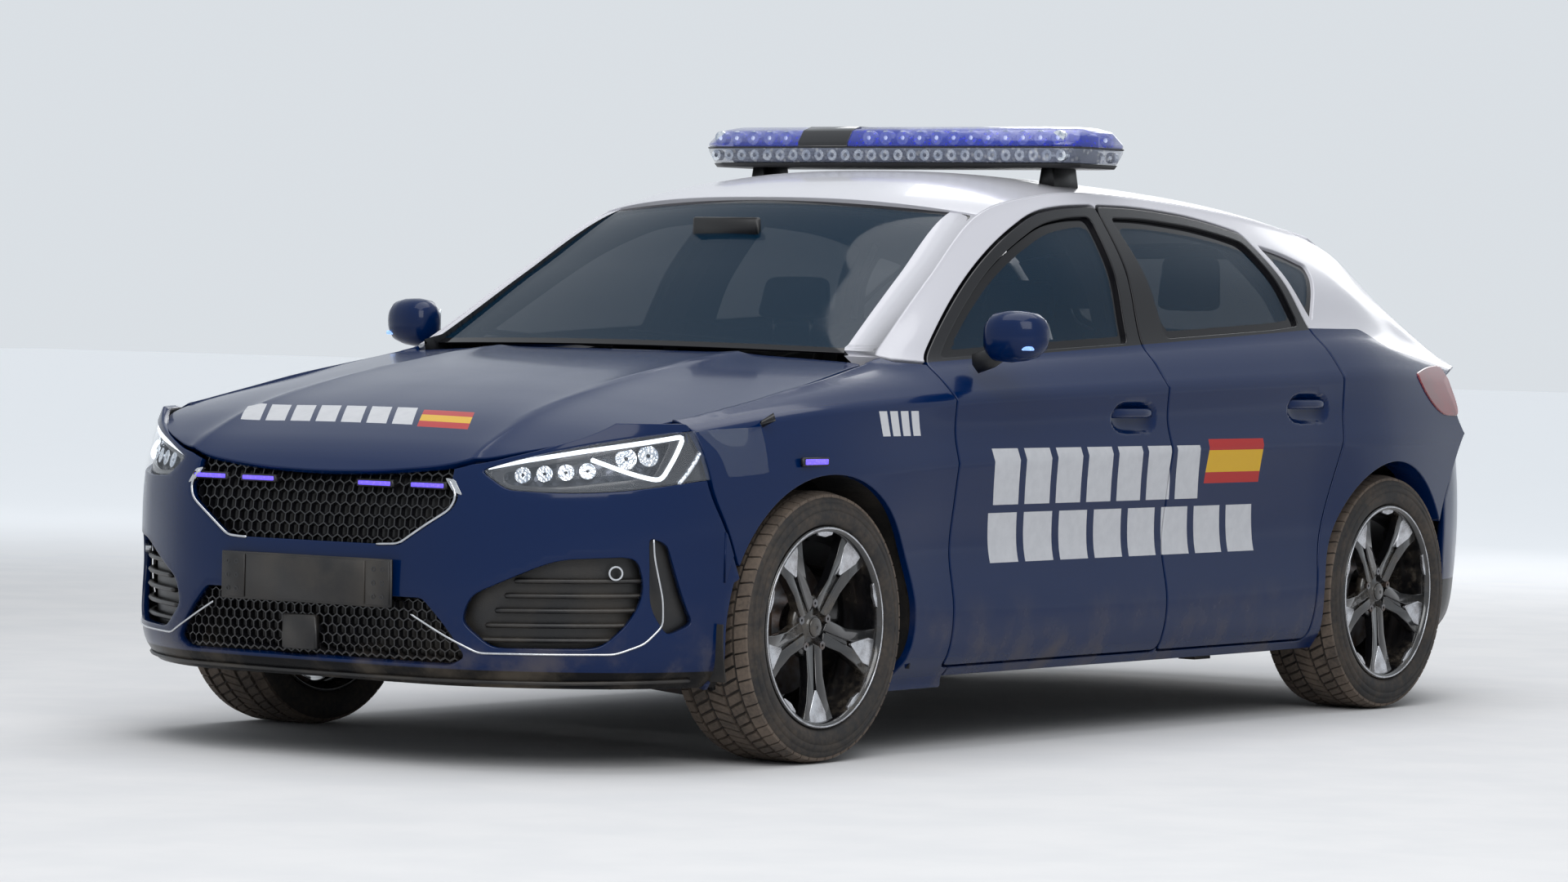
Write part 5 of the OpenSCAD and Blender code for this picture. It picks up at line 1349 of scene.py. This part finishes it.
def joined(name, pieces):
    """One mesh from several pieces, keeping each one's material and normals."""
    with bpy.context.temp_override(active_object=pieces[0], selected_editable_objects=pieces):
        bpy.ops.object.join()
    pieces[0].name = name
    pieces[0].data.name = name
    return pieces[0]


RIM = [(241, 92), (241, 108), (236, 111), (229, 109), (225, 98), (220, 60), (214, 20), (212, -60), (216, -96),
       (228, -104), (232, -108), (241, -108), (241, -92), (231, -86), (226, -40), (230, 40), (236, 84)]
SPOKE = [(40, 2), (58, 34), (120, 14.5), (178, 13.5), (228, 15), (228, 3.2), (178, 2.6), (120, 2.2)]
SPOKE_FACE = np.array([76, 77, 84, 90, 95, 91, 86, 80])
DISC = [(70, -34), (70, -14), (60, -6), (60, 20), (66, 20), (78, -12), (165, -12), (165, -20), (120, -21),
        (120, -26), (165, -27), (165, -34)]
SPOKES, FIRST_SPOKE = 5, 270
for s, hand in HANDS:
    for end in ("front", "rear"):
        node = f"wheel_{end}_{hand}"
        centre = middle_of(f"tyre_{end}_{hand}")
        spoke_parts = []
        for a in np.arange(SPOKES) * 360 / SPOKES + FIRST_SPOKE:
            for lean in (-1, 1):
                outline = np.array([polar(radius, a + lean * turn) for radius, turn in SPOKE])
                spoke_parts.append(plate_on_wheel("spoke", outline, SPOKE_FACE - 26, SPOKE_FACE, centre, s,
                                                  wheel_black, 3))
            bridge = np.array([polar(58, a - 16), polar(62, a + 16), polar(150, a + 4), polar(226, a + 5),
                               polar(226, a - 5), polar(150, a - 4)])
            face = np.array([72, 72, 74, 80, 80, 74])
            spoke_parts.append(plate_on_wheel("spoke_web", bridge, face - 22, face, centre, s, wheel_black,
                                              2))
        hub = [(0, 50), (0, 78), (24, 79), (28, 76), (30, 70), (70, 71), (76, 68), (78, 50)]
        spoke_parts += [lathe("hub", hub, centre, s, wheel_black, 60),
                        lathe("rim", RIM, centre, s, wheel_black)]
        wheel = joined(node + "_casting", spoke_parts)
        cap = lathe(node + "_cap", [(0, 78), (0, 84), (18, 84), (23, 82), (25, 78)], centre, s, wheel_black,
                    40)
        edges = []
        for a in np.arange(SPOKES) * 360 / SPOKES + FIRST_SPOKE:
            tip = np.array([polar(150, a - 1), polar(150, a + 1), polar(205, a + 9), polar(226, a + 8.4),
                            polar(228, a), polar(226, a - 8.4), polar(205, a - 9)])
            face = np.array([84, 84, 90, 94, 94.5, 94, 90])
            edges.append(plate_on_wheel("machined_face", tip, face - 8, face + 1.2, centre, s, machined, 1.2))
            half = a + 36
            sliver = np.array([polar(radius, half + turn) for radius, turn in (
                (220, -7), (214, 0), (220, 7), (228, 8), (229, 0), (228, -8))])
            edges.append(plate_on_wheel("machined_sliver", sliver, 96, 104, centre, s, machined, 1))
        edges.append(lathe("lip", [(233.5, 108.5), (233.5, 111.3), (237.5, 111.3), (237.5, 108.5)], centre,
                           s, machined))
        bright = joined(node + "_machined", edges)
        disc = lathe(node + "_disc", DISC, centre, s, disc_iron)
        nut_at = [centre + [x, s * 69, z] for x, z in (polar(56, 90 + 72 * k) for k in range(5))]
        nuts = repeated(node + "_bolts", tube_item("bolt", 11, 7, 18, 6), nut_at, (math.pi / 2, 0, 0),
                        disc_iron)
        fitted(wheel, f"{end}_wheel_{hand}", node, "wheel_alloy")
        for part in (cap, bright, disc, nuts):
            fitted(part, f"{end}_wheel_{hand}")

# ---- Tyres ----
# Black rubber on each rim, moulded tread of stepped blocks between three grooves with cut shoulders, dusty
# from the road; the side walls carry fine moulded rings.
def rubber_paint(place):
    dust = (place.noise(9.0, 5) + place.noise(80.0, 4) * 0.6).ease(0.55, 1.2)
    return {"Base Color": place.dye(dust * 0.55, (0.011, 0.011, 0.012), (0.13, 0.1, 0.075)),
            "Roughness": dust * 0.15 + 0.75, "Height": (place.noise(700.0, 3), 0.0002)}


def tread_paint(place):
    dust = (place.noise(12.0, 5) + place.noise(120.0, 4) * 0.6).ease(0.35, 1.1)
    return {"Base Color": place.dye(dust * 0.75 + 0.15, (0.018, 0.017, 0.017), (0.17, 0.13, 0.1)),
            "Roughness": dust * 0.1 + 0.82, "Height": (place.noise(500.0, 4), 0.0004)}


side_wall, tread_rubber = finish("tyre_side_wall", rubber_paint), finish("tyre_tread", tread_paint)
CARCASS = [(243, 96), (241, 101), (243, 105), (250, 112), (262, 116), (276, 117), (277, 115.6), (279, 115.6),
           (280, 117), (292, 114.5), (293, 112.6), (296, 112), (297, 113), (305, 109), (311, 103), (315, 95),
           (316, 60), (316.4, 0), (316, -60), (315, -95), (311, -103), (300, -111), (276, -117), (255, -112),
           (243, -105), (241, -101), (243, -96), (256, -90), (258, 0), (256, 90)]
ROWS = [(-106, -76, 3, 60, 1.5), (-68, -30, 9, 66, 3.0), (-22, 22, -7, 72, 2.6), (30, 68, 9, 66, 3.0),
        (76, 106, 3, 60, 1.5)]
for s, hand in HANDS:
    for end in ("front", "rear"):
        node = f"tyre_{end}_{hand}"
        centre = middle_of(node)
        carcass = lathe(node + "_carcass", CARCASS, centre, s, side_wall, 128)
        rows = []
        for r, (near, far, slant, count, gap) in enumerate(ROWS):
            half = math.pi * 319 / count - gap
            drop_near, drop_far = (7.5 if near < -100 else 0), (7.5 if far > 100 else 0)
            corners = [(-half + slant, near, -7 - drop_near), (half + slant, near, -7 - drop_near),
                       (half - slant, far, -7 - drop_far), (-half - slant, far, -7 - drop_far),
                       (-half + 1 + slant, near + 1, -0.4 - drop_near),
                       (half - 1 + slant, near + 1, -0.4 - drop_near),
                       (half - 1 - slant, far - 1, -0.4 - drop_far),
                       (-half + 1 - slant, far - 1, -0.4 - drop_far)]
            block = solid(f"tread_block_{r}", corners, BOX_FACES)
            a = (np.arange(count) + 0.5 * (r % 2)) * 2 * math.pi / count
            at = np.stack([centre[0] + (TYRE - 0.3) * np.cos(a), np.full(count, centre[1]),
                           centre[2] + (TYRE - 0.3) * np.sin(a)], 1)
            turns = [(0, math.pi / 2 - k, 0) for k in a]
            rows.append(repeated(f"{node}_row_{r}", block, at, turns, tread_rubber))
        tread = joined(node + "_tread", rows)
        fitted(carcass, f"{end}_wheel_{hand}", node, "tyre_rubber")
        fitted(tread, f"{end}_wheel_{hand}")

# ---- Roof lightbar ----
# A low bar across the roof: black feet and base tray, a clear lower lens, a ribbed blue upper lens with
# rows of round bright modules behind it, and a black centre section; screwed together round a seal.
bar_blue = finish("lightbar_blue_lens", lambda place: {
    "Base Color": place.dye(place.cells(70.0).ease(0.05, 0.5), (0.012, 0.03, 0.85), (0.02, 0.05, 0.5)),
    "Alpha": place.noise(6.0).ease(0.3, 0.8, 0.6, 0.75), "Roughness": place.noise(20.0) * 0.08 + 0.06,
    "Height": (place.part("Y") % 0.012 / 0.012, 0.0004)}, coat_weight=1.0, coat_roughness=0.03)
bar_clear = finish("lightbar_clear_lens", lambda place: {
    "Base Color": place.dye(place.cells(60.0).ease(0.05, 0.5), (0.85, 0.88, 0.95), (0.4, 0.45, 0.6)),
    "Alpha": place.noise(6.0).ease(0.3, 0.8, 0.35, 0.5), "Roughness": place.noise(20.0) * 0.1 + 0.05,
    "Height": (place.part("Y") % 0.009 / 0.009, 0.0005)}, coat_weight=1.0, coat_roughness=0.03)
bar_low, bar_high = [np.array(corner) * 1000 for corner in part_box("lightbar_lens")]
bar_x, bar_half, bar_deep = (bar_low[0] + bar_high[0]) / 2, bar_high[1], (bar_high[0] - bar_low[0]) / 2
BAR_CHAMFER = (60, 46)


def ring_faces(rings, count):
    """The walls between equal rings of points, and the two caps that close them."""
    walls = [(r * count + i, r * count + (i + 1) % count, (r + 1) * count + (i + 1) % count,
              (r + 1) * count + i)
             for r in range(rings - 1) for i in range(count)]
    return walls, [tuple(range(count))[::-1], tuple(range((rings - 1) * count, rings * count))]


def bar_shell(name, levels, material, edge=5.0, y0=-bar_half, y1=bar_half):
    """A tapering part of the bar between two ends; levels are (height, half depth, inset at the ends)."""
    points = []
    for z, deep, inset in levels:
        a, b = y0 + (inset if y0 <= -bar_half else 0), y1 - (inset if y1 >= bar_half else 0)
        for y, x, end in ((a, 1, y0 <= -bar_half), (b, 1, y1 >= bar_half), (b, -1, y1 >= bar_half),
                          (a, -1, y0 <= -bar_half)):
            out = 1 if y == b else -1
            along_bar, across_bar = BAR_CHAMFER if end else (0, 0)
            corner = [(bar_x + x * deep, y - out * along_bar, z), (bar_x + x * (deep - across_bar), y, z)]
            points += corner if (x > 0) == (out > 0) else corner[::-1]
    walls, caps = ring_faces(len(levels), 8)
    return soft_edged(solid(name, points, caps + walls, material), edge)


z0, z1 = bar_low[2], bar_high[2]
split = z0 + (z1 - z0) * 0.42
lower = bar_shell("lightbar_lower_lens", [(z0 + 0.5, bar_deep - 14, 12), (split - 9, bar_deep - 1, 0),
                                          (split - 1, bar_deep - 1, 0)], bar_clear, 3)
upper = bar_shell("lightbar_upper_lens", [(split, bar_deep - 1, 0), (split + 12, bar_deep - 1, 0),
                                          (z1 - 13, bar_deep - 26, 20), (z1 - 3, bar_deep - 60, 50)],
                  bar_blue)
seam = bar_shell("lightbar_seal", [(split - 2.5, bar_deep, -1), (split + 1.5, bar_deep, -1)], plastic, 1)
hood = bar_shell("lightbar_centre", [(split + 1, bar_deep + 0.2, 0), (split + 13, bar_deep + 0.2, 0),
                                     (z1 - 13, bar_deep - 24, 0), (z1 - 1.5, bar_deep - 60, 0)], gloss_black,
                 y0=-271, y1=-109)
tray = bar_shell("lightbar_tray", [(z0 - 11, bar_deep - 22, 14), (z0, bar_deep - 13, 10)], plastic, 2)
fitted(lower, "body", "lightbar_lens", "lamp_clear")
fitted(upper, "body", None, "lamp_blue")
fitted(seam)
fitted(hood)
fitted(tray, "body", "lightbar_base", "black_plastic")
for s, hand in HANDS:
    fitted(rounded_box(f"lightbar_foot_{hand}", (bar_x - 62, s * 470 - 26, 1404),
                       (bar_x + 62, s * 470 + 26, z0 - 6), plastic, 6, 6))
lamp_y = [y for y in np.linspace(-548, 548, 21) if not -300 < y < -80]
low_y = np.linspace(-560, 560, 27)
for name, rim, places_y, inset, height, material in (
        ("lightbar_modules", (19, 13, 22, 20), lamp_y, 34, (split + z1) / 2 - 4, reflector),
        ("lightbar_cores", (7, 6.5, 8, 12), lamp_y, 34, (split + z1) / 2 - 4, lit_white),
        ("lightbar_lower_modules", (15, 9, 20, 16), low_y, 30, (z0 + split) / 2, reflector)):
    lamps = [(bar_x + face * (bar_deep - inset), y, height) for face in (1, -1) for y in places_y]
    turns = [(0, face * math.pi / 2, 0) for face in (1, -1) for _ in places_y]
    fitted(repeated(name, tube_item("module", *rim), lamps, turns, material))
fitted(rounded_box("lightbar_keel", (bar_x - 60, -bar_half + 50, z0 + 3),
                   (bar_x + 60, bar_half - 50, z1 - 24), plastic, 4))

# ---- Door mirrors ----
# Painted shells over black feet on the door shoulders, a black lower surround with a slim flasher, and a
# bright glass set back in its rim.
mirror_glass = finish("mirror_glass", lambda place: {
    "Base Color": place.dye(place.noise(6.0).ease(0.4, 0.7), (0.75, 0.78, 0.8), (0.66, 0.7, 0.74)),
    "Roughness": place.noise(20.0) * 0.04 + 0.02, "Metallic": 1.0})
for s, hand in HANDS:
    reach = max(abs(corner[1]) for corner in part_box(f"mirror_{hand}")) * 1000
    sections = [(reach - 2, 0.32), (reach - 12, 0.62), (reach - 30, 0.84), (reach - 60, 0.96),
                (reach - 95, 1.0), (reach - 130, 0.94), (reach - 148, 0.72), (reach - 156, 0.4)]
    rows, count = [], 28
    for y, k in sections:
        lean = (reach - y) * 0.10
        for t in np.linspace(0, 2 * math.pi, count, endpoint=False):
            c, n = math.cos(t), math.sin(t)
            x = 648 + lean + (math.copysign(abs(c) ** 0.75, c) * (62 if c > 0 else 44)) * k
            z = 1022 - lean * 0.5 + math.copysign(abs(n) ** 0.8, n) * 64 * k
            rows.append((x, s * y, z))
    walls, caps = ring_faces(len(sections), count)
    shell = solid(f"mirror_shell_{hand}", rows, [f[::s] for f in walls + caps], paint_blue, smooth=True)
    arm_line = np.array([[640, s * (reach - 135), 985], [648, s * (reach - 165), 962],
                         [662, s * (reach - 200), 948]])
    arm = sweep(f"mirror_arm_{hand}", arm_line, 17, 14, plastic, 1.5)
    glass = rounded_box(f"mirror_glass_{hand}", (604, min(s * (reach - 40), s * (reach - 128)), 988),
                        (612, max(s * (reach - 40), s * (reach - 128)), 1054), mirror_glass, 3)
    flash = rounded_box(f"mirror_flasher_{hand}", (676, min(s * (reach - 16), s * (reach - 90)), 984),
                        (700, max(s * (reach - 16), s * (reach - 90)), 994), lit_blue, 3)
    fitted(shell, f"front_door_{hand}", f"mirror_{hand}", "blue_paint")
    for part in (arm, glass, flash):
        fitted(part, f"front_door_{hand}")

# ---- Seats ----
# Foam cushions in dark woven cloth: front seats on closed frames, with headrests on two bright posts, and a
# rear bench with a split back and three headrests. The covers are drawn tight over the foam.
cloth = finish("dark_seat_cloth", lambda place: {
    "Base Color": place.dye((place.noise(5.0, 4).ease(0.3, 0.7) + place.cells(420.0)) * 0.5,
                            (0.011, 0.012, 0.015), (0.035, 0.037, 0.042)),
    "Roughness": place.noise(40.0, 3) * 0.1 + 0.85, "Height": (place.cells(420.0), 0.0004)}, sheen_weight=0.3)


SEAT_Y = 365


def corners_of(piece):
    """The positions of a piece's vertices, in metres."""
    at = np.zeros(len(piece.data.vertices) * 3)
    piece.data.vertices.foreach_get("co", at)
    return at.reshape(-1, 3)


def cushion(name, corners, voxel, cap, node=None):
    """A foam pad blown up by a short cloth simulation, with its corners left pulled in."""
    pad = soft_edged(solid(name, corners, BOX_FACES, cloth), 22, 3)
    remesh = pad.modifiers.new("even_mesh", "REMESH")
    remesh.mode, remesh.voxel_size = "VOXEL", voxel * 1
    applied(pad)
    start = corners_of(pad)
    swell = pad.modifiers.new("swell", "CLOTH")
    swell.settings.use_pressure = True
    swell.settings.uniform_pressure_force = 4
    swell.settings.effector_weights.gravity = 0
    for frame_number in range(1, 21):
        bpy.context.scene.frame_set(frame_number)
    applied(pad)
    bpy.context.scene.frame_set(1)
    shift = corners_of(pad) - start
    length = np.linalg.norm(shift, axis=1, keepdims=True)
    kept = start + shift * np.minimum(1, cap * 0.001 / np.maximum(length, 1e-9))
    pad.data.vertices.foreach_set("co", kept.ravel())
    pad.data.update()
    smooth = pad.modifiers.new("smooth", "SUBSURF")
    smooth.levels = smooth.render_levels = 1
    applied(pad)
    pad.data.shade_smooth()
    fitted(pad, "body", node, "seat_cloth" if node else None)


def leaning(*ends):
    """Corners of a leaning pad from its lower and upper end: (back, front, height, one side, other side)."""
    return [(x, y, z) for back, front, z, y0, y1 in ends
            for x, y in ((back, y0), (front, y0), (front, y1), (back, y1))]


for s, hand in HANDS:
    y0, y1 = sorted((s * 140, s * 590))
    y = s * SEAT_Y
    cushion(f"front_cushion_{hand}", box_points((-40, y0 + 12, 400), (415, y1 - 12, 478), 8), 0.010, 22,
            "front_seats" if s > 0 else None)
    cushion(f"front_backrest_{hand}", leaning((-70, 10, 500, y0 + 14, y1 - 14),
                                              (-262, -200, 985, y0 + 50, y1 - 50)), 0.010, 24)
    cushion(f"front_headrest_{hand}", leaning((-272, -206, 1046, y - 112, y + 112),
                                              (-290, -232, 1160, y - 98, y + 98)), 0.008, 14)
    fitted(rounded_box(f"front_seat_frame_{hand}", (0, y - 195, 222), (355, y + 195, 362), plastic, 12))
    for k in (-1, 1):
        fitted(sweep(f"headrest_post_{hand}_{'outer' if k > 0 else 'inner'}",
                     np.array([[-232, y + k * 62, 985], [-240, y + k * 62, 1060]]), 6, 10, chrome))
cushion("rear_bench", box_points((-915, -590, 395), (-515, 590, 500), 8), 0.014, 22, "rear_seat")
for k, (y0, y1) in enumerate(((-590, -205), (-197, 590))):
    cushion(f"rear_backrest_{k}", leaning((-905, -835, 520, y0, y1),
                                          (-1085, -1030, 1020, y0 * 0.92, y1 * 0.92)),
            0.014, 20)
for y, hand in ((380, "left"), (0, "middle"), (-380, "right")):
    cushion(f"rear_headrest_{hand}", leaning((-1106, -1054, 1090, y - 100, y + 100),
                                             (-1110, -1066, 1240, y - 90, y + 90)), 0.010, 12)

# ---- Dashboard and steering wheel ----
# A soft grained moulding across the cabin with a hood over the dial screen, a middle screen, vents and a
# console; the steering wheel has a leather rim, three spokes and a plain boss pad.
soft_trim = finish("grained_dash_skin", moulded((0.012, 0.012, 0.013), 0.62, 260.0, 0.0004, 0.1))
leather = finish("stitched_leather", lambda place: {
    "Base Color": place.dye(place.noise(14.0, 4).ease(0.3, 0.7), (0.012, 0.012, 0.013),
                            (0.028, 0.027, 0.027)),
    "Roughness": place.noise(30.0, 3) * 0.15 + 0.42, "Height": (place.cells(500.0), 0.0002)})
screen_glass = finish("screen_glass", lambda place: {
    "Base Color": place.dye(place.noise(12.0), (0.004, 0.005, 0.008), (0.01, 0.013, 0.02)),
    "Roughness": place.noise(40.0) * 0.05 + 0.06}, coat_weight=1.0)
profile = [(866, 866), (770, 884), (640, 886), (560, 868), (530, 838), (536, 800), (590, 760), (600, 690),
           (700, 608), (800, 640), (860, 760)]
ys = np.linspace(-676, 676, 30)
rows, count = [], len(profile)
for y in ys:
    sag = -10 * (abs(y) / 676) ** 4
    hood = 22 * math.exp(-((y - 365) / 130) ** 2)
    for x, z in profile:
        rows.append((x - (hood * 0.8 if x < 620 and z > 790 else 0), y, z + sag))
walls, caps = ring_faces(len(ys), count)
dash = soft_edged(solid("dashboard_skin", rows, [f[::-1] for f in walls + caps], soft_trim), 6, 2, 25)
tunnel = rounded_box("centre_console", (70, -86, 312), (716, 86, 534), soft_trim, 18)
screen = rounded_box("dash_screen", (522, -120, 790), (534, 120, 872), screen_glass, 5)
dials = rounded_box("dial_screen", (504, 250, 800), (516, 480, 872), screen_glass, 5)
shifter = sweep("gear_lever", np.array([[330, 0, 530], [322, 0, 580], [318, 0, 610]]), 20, 16, leather)
fitted(dash, "body", "dashboard", "black_plastic")
for part in (tunnel, screen, dials, shifter):
    fitted(part)
vent_at = [(536, y, 812 - 9 * k) for y in (-620, -560, 560, 620) for k in range(4)]
fitted(repeated("dash_vents", solid("vent_slat", box_points((-3, -26, -2), (3, 26, 2)), BOX_FACES), vent_at,
                (0, 0.3, 0), gloss_black))

hub = middle_of("steering_wheel")
tilt = math.radians(114)
face_z = np.array([math.sin(tilt), 0, math.cos(tilt)])
face_x, face_y = np.array([math.cos(tilt), 0, -math.sin(tilt)]), np.array([0, 1.0, 0])


def on_wheel(a, r, out=0.0):
    return hub + face_x * r * math.cos(a) + face_y * r * math.sin(a) + face_z * out


ring_line = np.array([on_wheel(a, 172) for a in np.linspace(0, 2 * math.pi, 72, endpoint=False)])
rim = sweep("steering_rim", ring_line, 13.4, 16, leather, closed=True)
fitted(rim, "steering_wheel", "steering_wheel", "black_plastic")
for k, a in enumerate((0, 84, 276)):
    line = np.array([on_wheel(math.radians(a), r) for r in (40, 90, 130, 168)])
    fitted(sweep(f"steering_spoke_{k}", line, 14, 12, gloss_black, 0.5), "steering_wheel")
boss_rows = [(r, o) for r, o in ((4, -22), (30, -21), (48, -17), (54, -8), (54, 12), (44, 20), (4, 21))]
points = [on_wheel(a, r, o) for r, o in boss_rows for a in np.linspace(0, 2 * math.pi, 40, endpoint=False)]
walls, caps = ring_faces(len(boss_rows), 40)
fitted(solid("steering_boss", points, walls + caps, soft_trim, smooth=True), "steering_wheel")
fitted(rounded_box("cabin_mirror", (560, -105, 1252), (578, 105, 1306), plastic, 7))

# ---- Wipers ----
# Two steel arms in black park along the foot of the windscreen, and each presses a moulded rubber blade
# against the glass.
for k, (y0, y1) in enumerate(((560, -40), (-60, -580))):
    t = np.linspace(0, 1, 24)
    way = y0 + (y1 - y0) * t
    lift = 14 + 62 * t if k == 0 else 14 + 50 * t
    blade_line = np.stack([np.interp(np.abs(way), [0, 700], [985, 880]) - lift * 0.9, way,
                           962 + lift * 0.55], 1)
    fitted(sweep(f"wiper_blade_{k}", blade_line, 5, 8, rubber))
    fitted(sweep(f"wiper_arm_{k}", blade_line + np.array([6, 0, 7.0]), 4.5, 8, plastic))

# ---- Structure kept from the CAD ----
# Pressed floor with underseal, moulded arch liners and flaps, cast and pressed suspension parts, an alloy
# engine, a plastic tank and a stainless exhaust: plain engineering shapes with their own finishes.
underseal = finish("underseal", lambda place: {
    "Base Color": place.dye(place.noise(6.0, 5).ease(0.35, 0.7), (0.012, 0.012, 0.013), (0.06, 0.05, 0.04)),
    "Roughness": place.noise(20.0, 3) * 0.15 + 0.8, "Height": (place.noise(160.0, 4), 0.0012)})
cast_alloy = finish("cast_alloy", lambda place: {
    "Base Color": place.dye(place.noise(12.0, 5).ease(0.35, 0.7), (0.33, 0.33, 0.34), (0.14, 0.13, 0.12)),
    "Roughness": place.noise(35.0, 3) * 0.2 + 0.4, "Metallic": 0.85,
    "Height": (place.noise(300.0, 3), 0.0005)})
cast_steel = finish("cast_steel", lambda place: {
    "Base Color": place.dye(place.noise(12.0, 5).ease(0.35, 0.7), (0.05, 0.05, 0.055), (0.1, 0.055, 0.03)),
    "Roughness": place.noise(35.0, 3) * 0.2 + 0.5, "Metallic": 0.7,
    "Height": (place.noise(260.0, 3), 0.0005)})
stainless = finish("exhaust_steel", lambda place: {
    "Base Color": place.dye(place.noise(9.0, 4).ease(0.35, 0.7), (0.4, 0.38, 0.36), (0.22, 0.16, 0.1)),
    "Roughness": place.noise(25.0, 3) * 0.2 + 0.3, "Metallic": 0.95})


def arch_flap(name, centre, radius, angles, y0, y1):
    """A thin curved guard that carries an arch liner down to the lower edge of the body."""
    a = np.radians(np.linspace(*angles, 9))
    rows = [(centre + r * math.cos(k), y, TYRE + r * math.sin(k)) for k in a for r, y in
            ((radius, y0), (radius, y1), (radius + 4, y1), (radius + 4, y0))]
    walls, caps = ring_faces(9, 4)
    fitted(solid(name, rows, caps + walls, underseal))


for s, hand in HANDS:
    for end, centre, radius, y0, y1 in (("front", FRONT_AXLE, 388, 692, 862),
                                        ("rear", REAR_AXLE, 364, 600, 840)):
        for side_name, angles in (("ahead", (-17, 3)), ("behind", (177, 197))):
            arch_flap(f"{end}_arch_flap_{side_name}_{hand}", centre, radius, angles,
                      *sorted((s * y0, s * y1)))
for names, material in ((("floor_pan", "arch_liners", "bulkhead"), underseal),
                        (("engine_block",), cast_alloy),
                        (("front_subframe", "rear_axle", "knuckle_left", "knuckle_right"), cast_steel),
                        (("exhaust",), stainless), (("fuel_tank",), plastic)):
    for name in names:
        node = bpy.data.objects[name]
        node.data.materials.clear()
        node.data.materials.append(material)

# ---- Studio ----
# A pale plain floor and a plain pale surround, one large soft lamp high in front, one above and a weak one
# behind; a long lens stands low, off the front left corner.
SOFT_LIGHT, SURROUND, LOW_GLOW = 0.34, 0.78, (0.47, 0.5, 0.53)


def background_rays(tree):
    """1 for the rays that see the surround: from the lens, off a gloss or through glass."""
    path = tree.nodes.new("ShaderNodeLightPath")
    lens, gloss, glass = (Tone(tree, path.outputs[f"Is {kind} Ray"]) for kind in ("Camera", "Glossy",
                                                                                  "Transmission"))
    return lens.most(gloss).most(glass)


def floor_recipe(place):
    x, y = place.part("X"), place.part("Y")
    far = (x * x + y * y).ease(9.0, 150.0)
    glow = far * background_rays(place.tree)
    return {"Base Color": place.dye(place.noise(3.0).ease(0.3, 0.7), (0.76, 0.765, 0.78), (0.8, 0.8, 0.81)),
            "Emission Color": place.dye(glow, (0.0, 0.0, 0.0), LOW_GLOW)}


pale_floor = finish("pale_floor", floor_recipe, roughness=0.85, specular_ior_level=0.2, emission_strength=1.0)
FLOOR_HALF = 60000
floor = solid("studio_floor", [(-FLOOR_HALF, -FLOOR_HALF, 0), (FLOOR_HALF, -FLOOR_HALF, 0),
                               (FLOOR_HALF, FLOOR_HALF, 0), (-FLOOR_HALF, FLOOR_HALF, 0)], [(0, 1, 2, 3)],
              pale_floor)
scene = bpy.context.scene
scene.view_settings.view_transform = "Standard"
scene.world = bpy.data.worlds.new("studio")
scene.world.use_nodes = True
sky = scene.world.node_tree
power = background_rays(sky).ease(0.0, 1.0, SOFT_LIGHT, SURROUND)
sky.links.new(power.output, sky.nodes["Background"].inputs["Strength"])
sky.nodes["Background"].inputs["Color"].default_value = (0.9, 0.95, 1.0, 1)
for name, at, aim, size, watts in (("key_lamp", (7, 6, 7), (0.5, 0, 0.6), (7, 7), 520),
                                   ("top_lamp", (0, 0, 7), (0, 0, 0), (9, 5), 280),
                                   ("back_lamp", (-9, -3, 5), (-1, 0, 0.8), (5, 5), 190)):
    light = bpy.data.lights.new(name, "AREA")
    light.shape, light.size, light.size_y, light.energy = "RECTANGLE", *size, watts
    carrier = bpy.data.objects.new(name, light)
    carrier.location = at
    carrier.rotation_euler = (Vector(aim) - Vector(at)).to_track_quat("-Z", "Y").to_euler()
    scene.collection.objects.link(carrier)
view = bpy.data.cameras.new("camera")
view.lens, view.sensor_width, view.clip_end = 125.05, 36, 200
camera = bpy.data.objects.new("camera", view)
scene.collection.objects.link(camera)
azimuth, elevation, roll = map(math.radians, (125.7773, 1.4507, 1.1496))
back = Vector((math.sin(azimuth) * math.cos(elevation), -math.cos(azimuth) * math.cos(elevation),
               math.sin(elevation)))
across = Vector((math.cos(azimuth), math.sin(azimuth), 0))
upward = back.cross(across)
columns = (across * math.cos(roll) + upward * math.sin(roll),
           upward * math.cos(roll) - across * math.sin(roll), back, Vector((11.8309, 8.3105, 1.0882)))
camera.matrix_world = Matrix([[c[row] for c in columns] for row in range(3)] + [[0, 0, 0, 1]])
scene.camera = camera
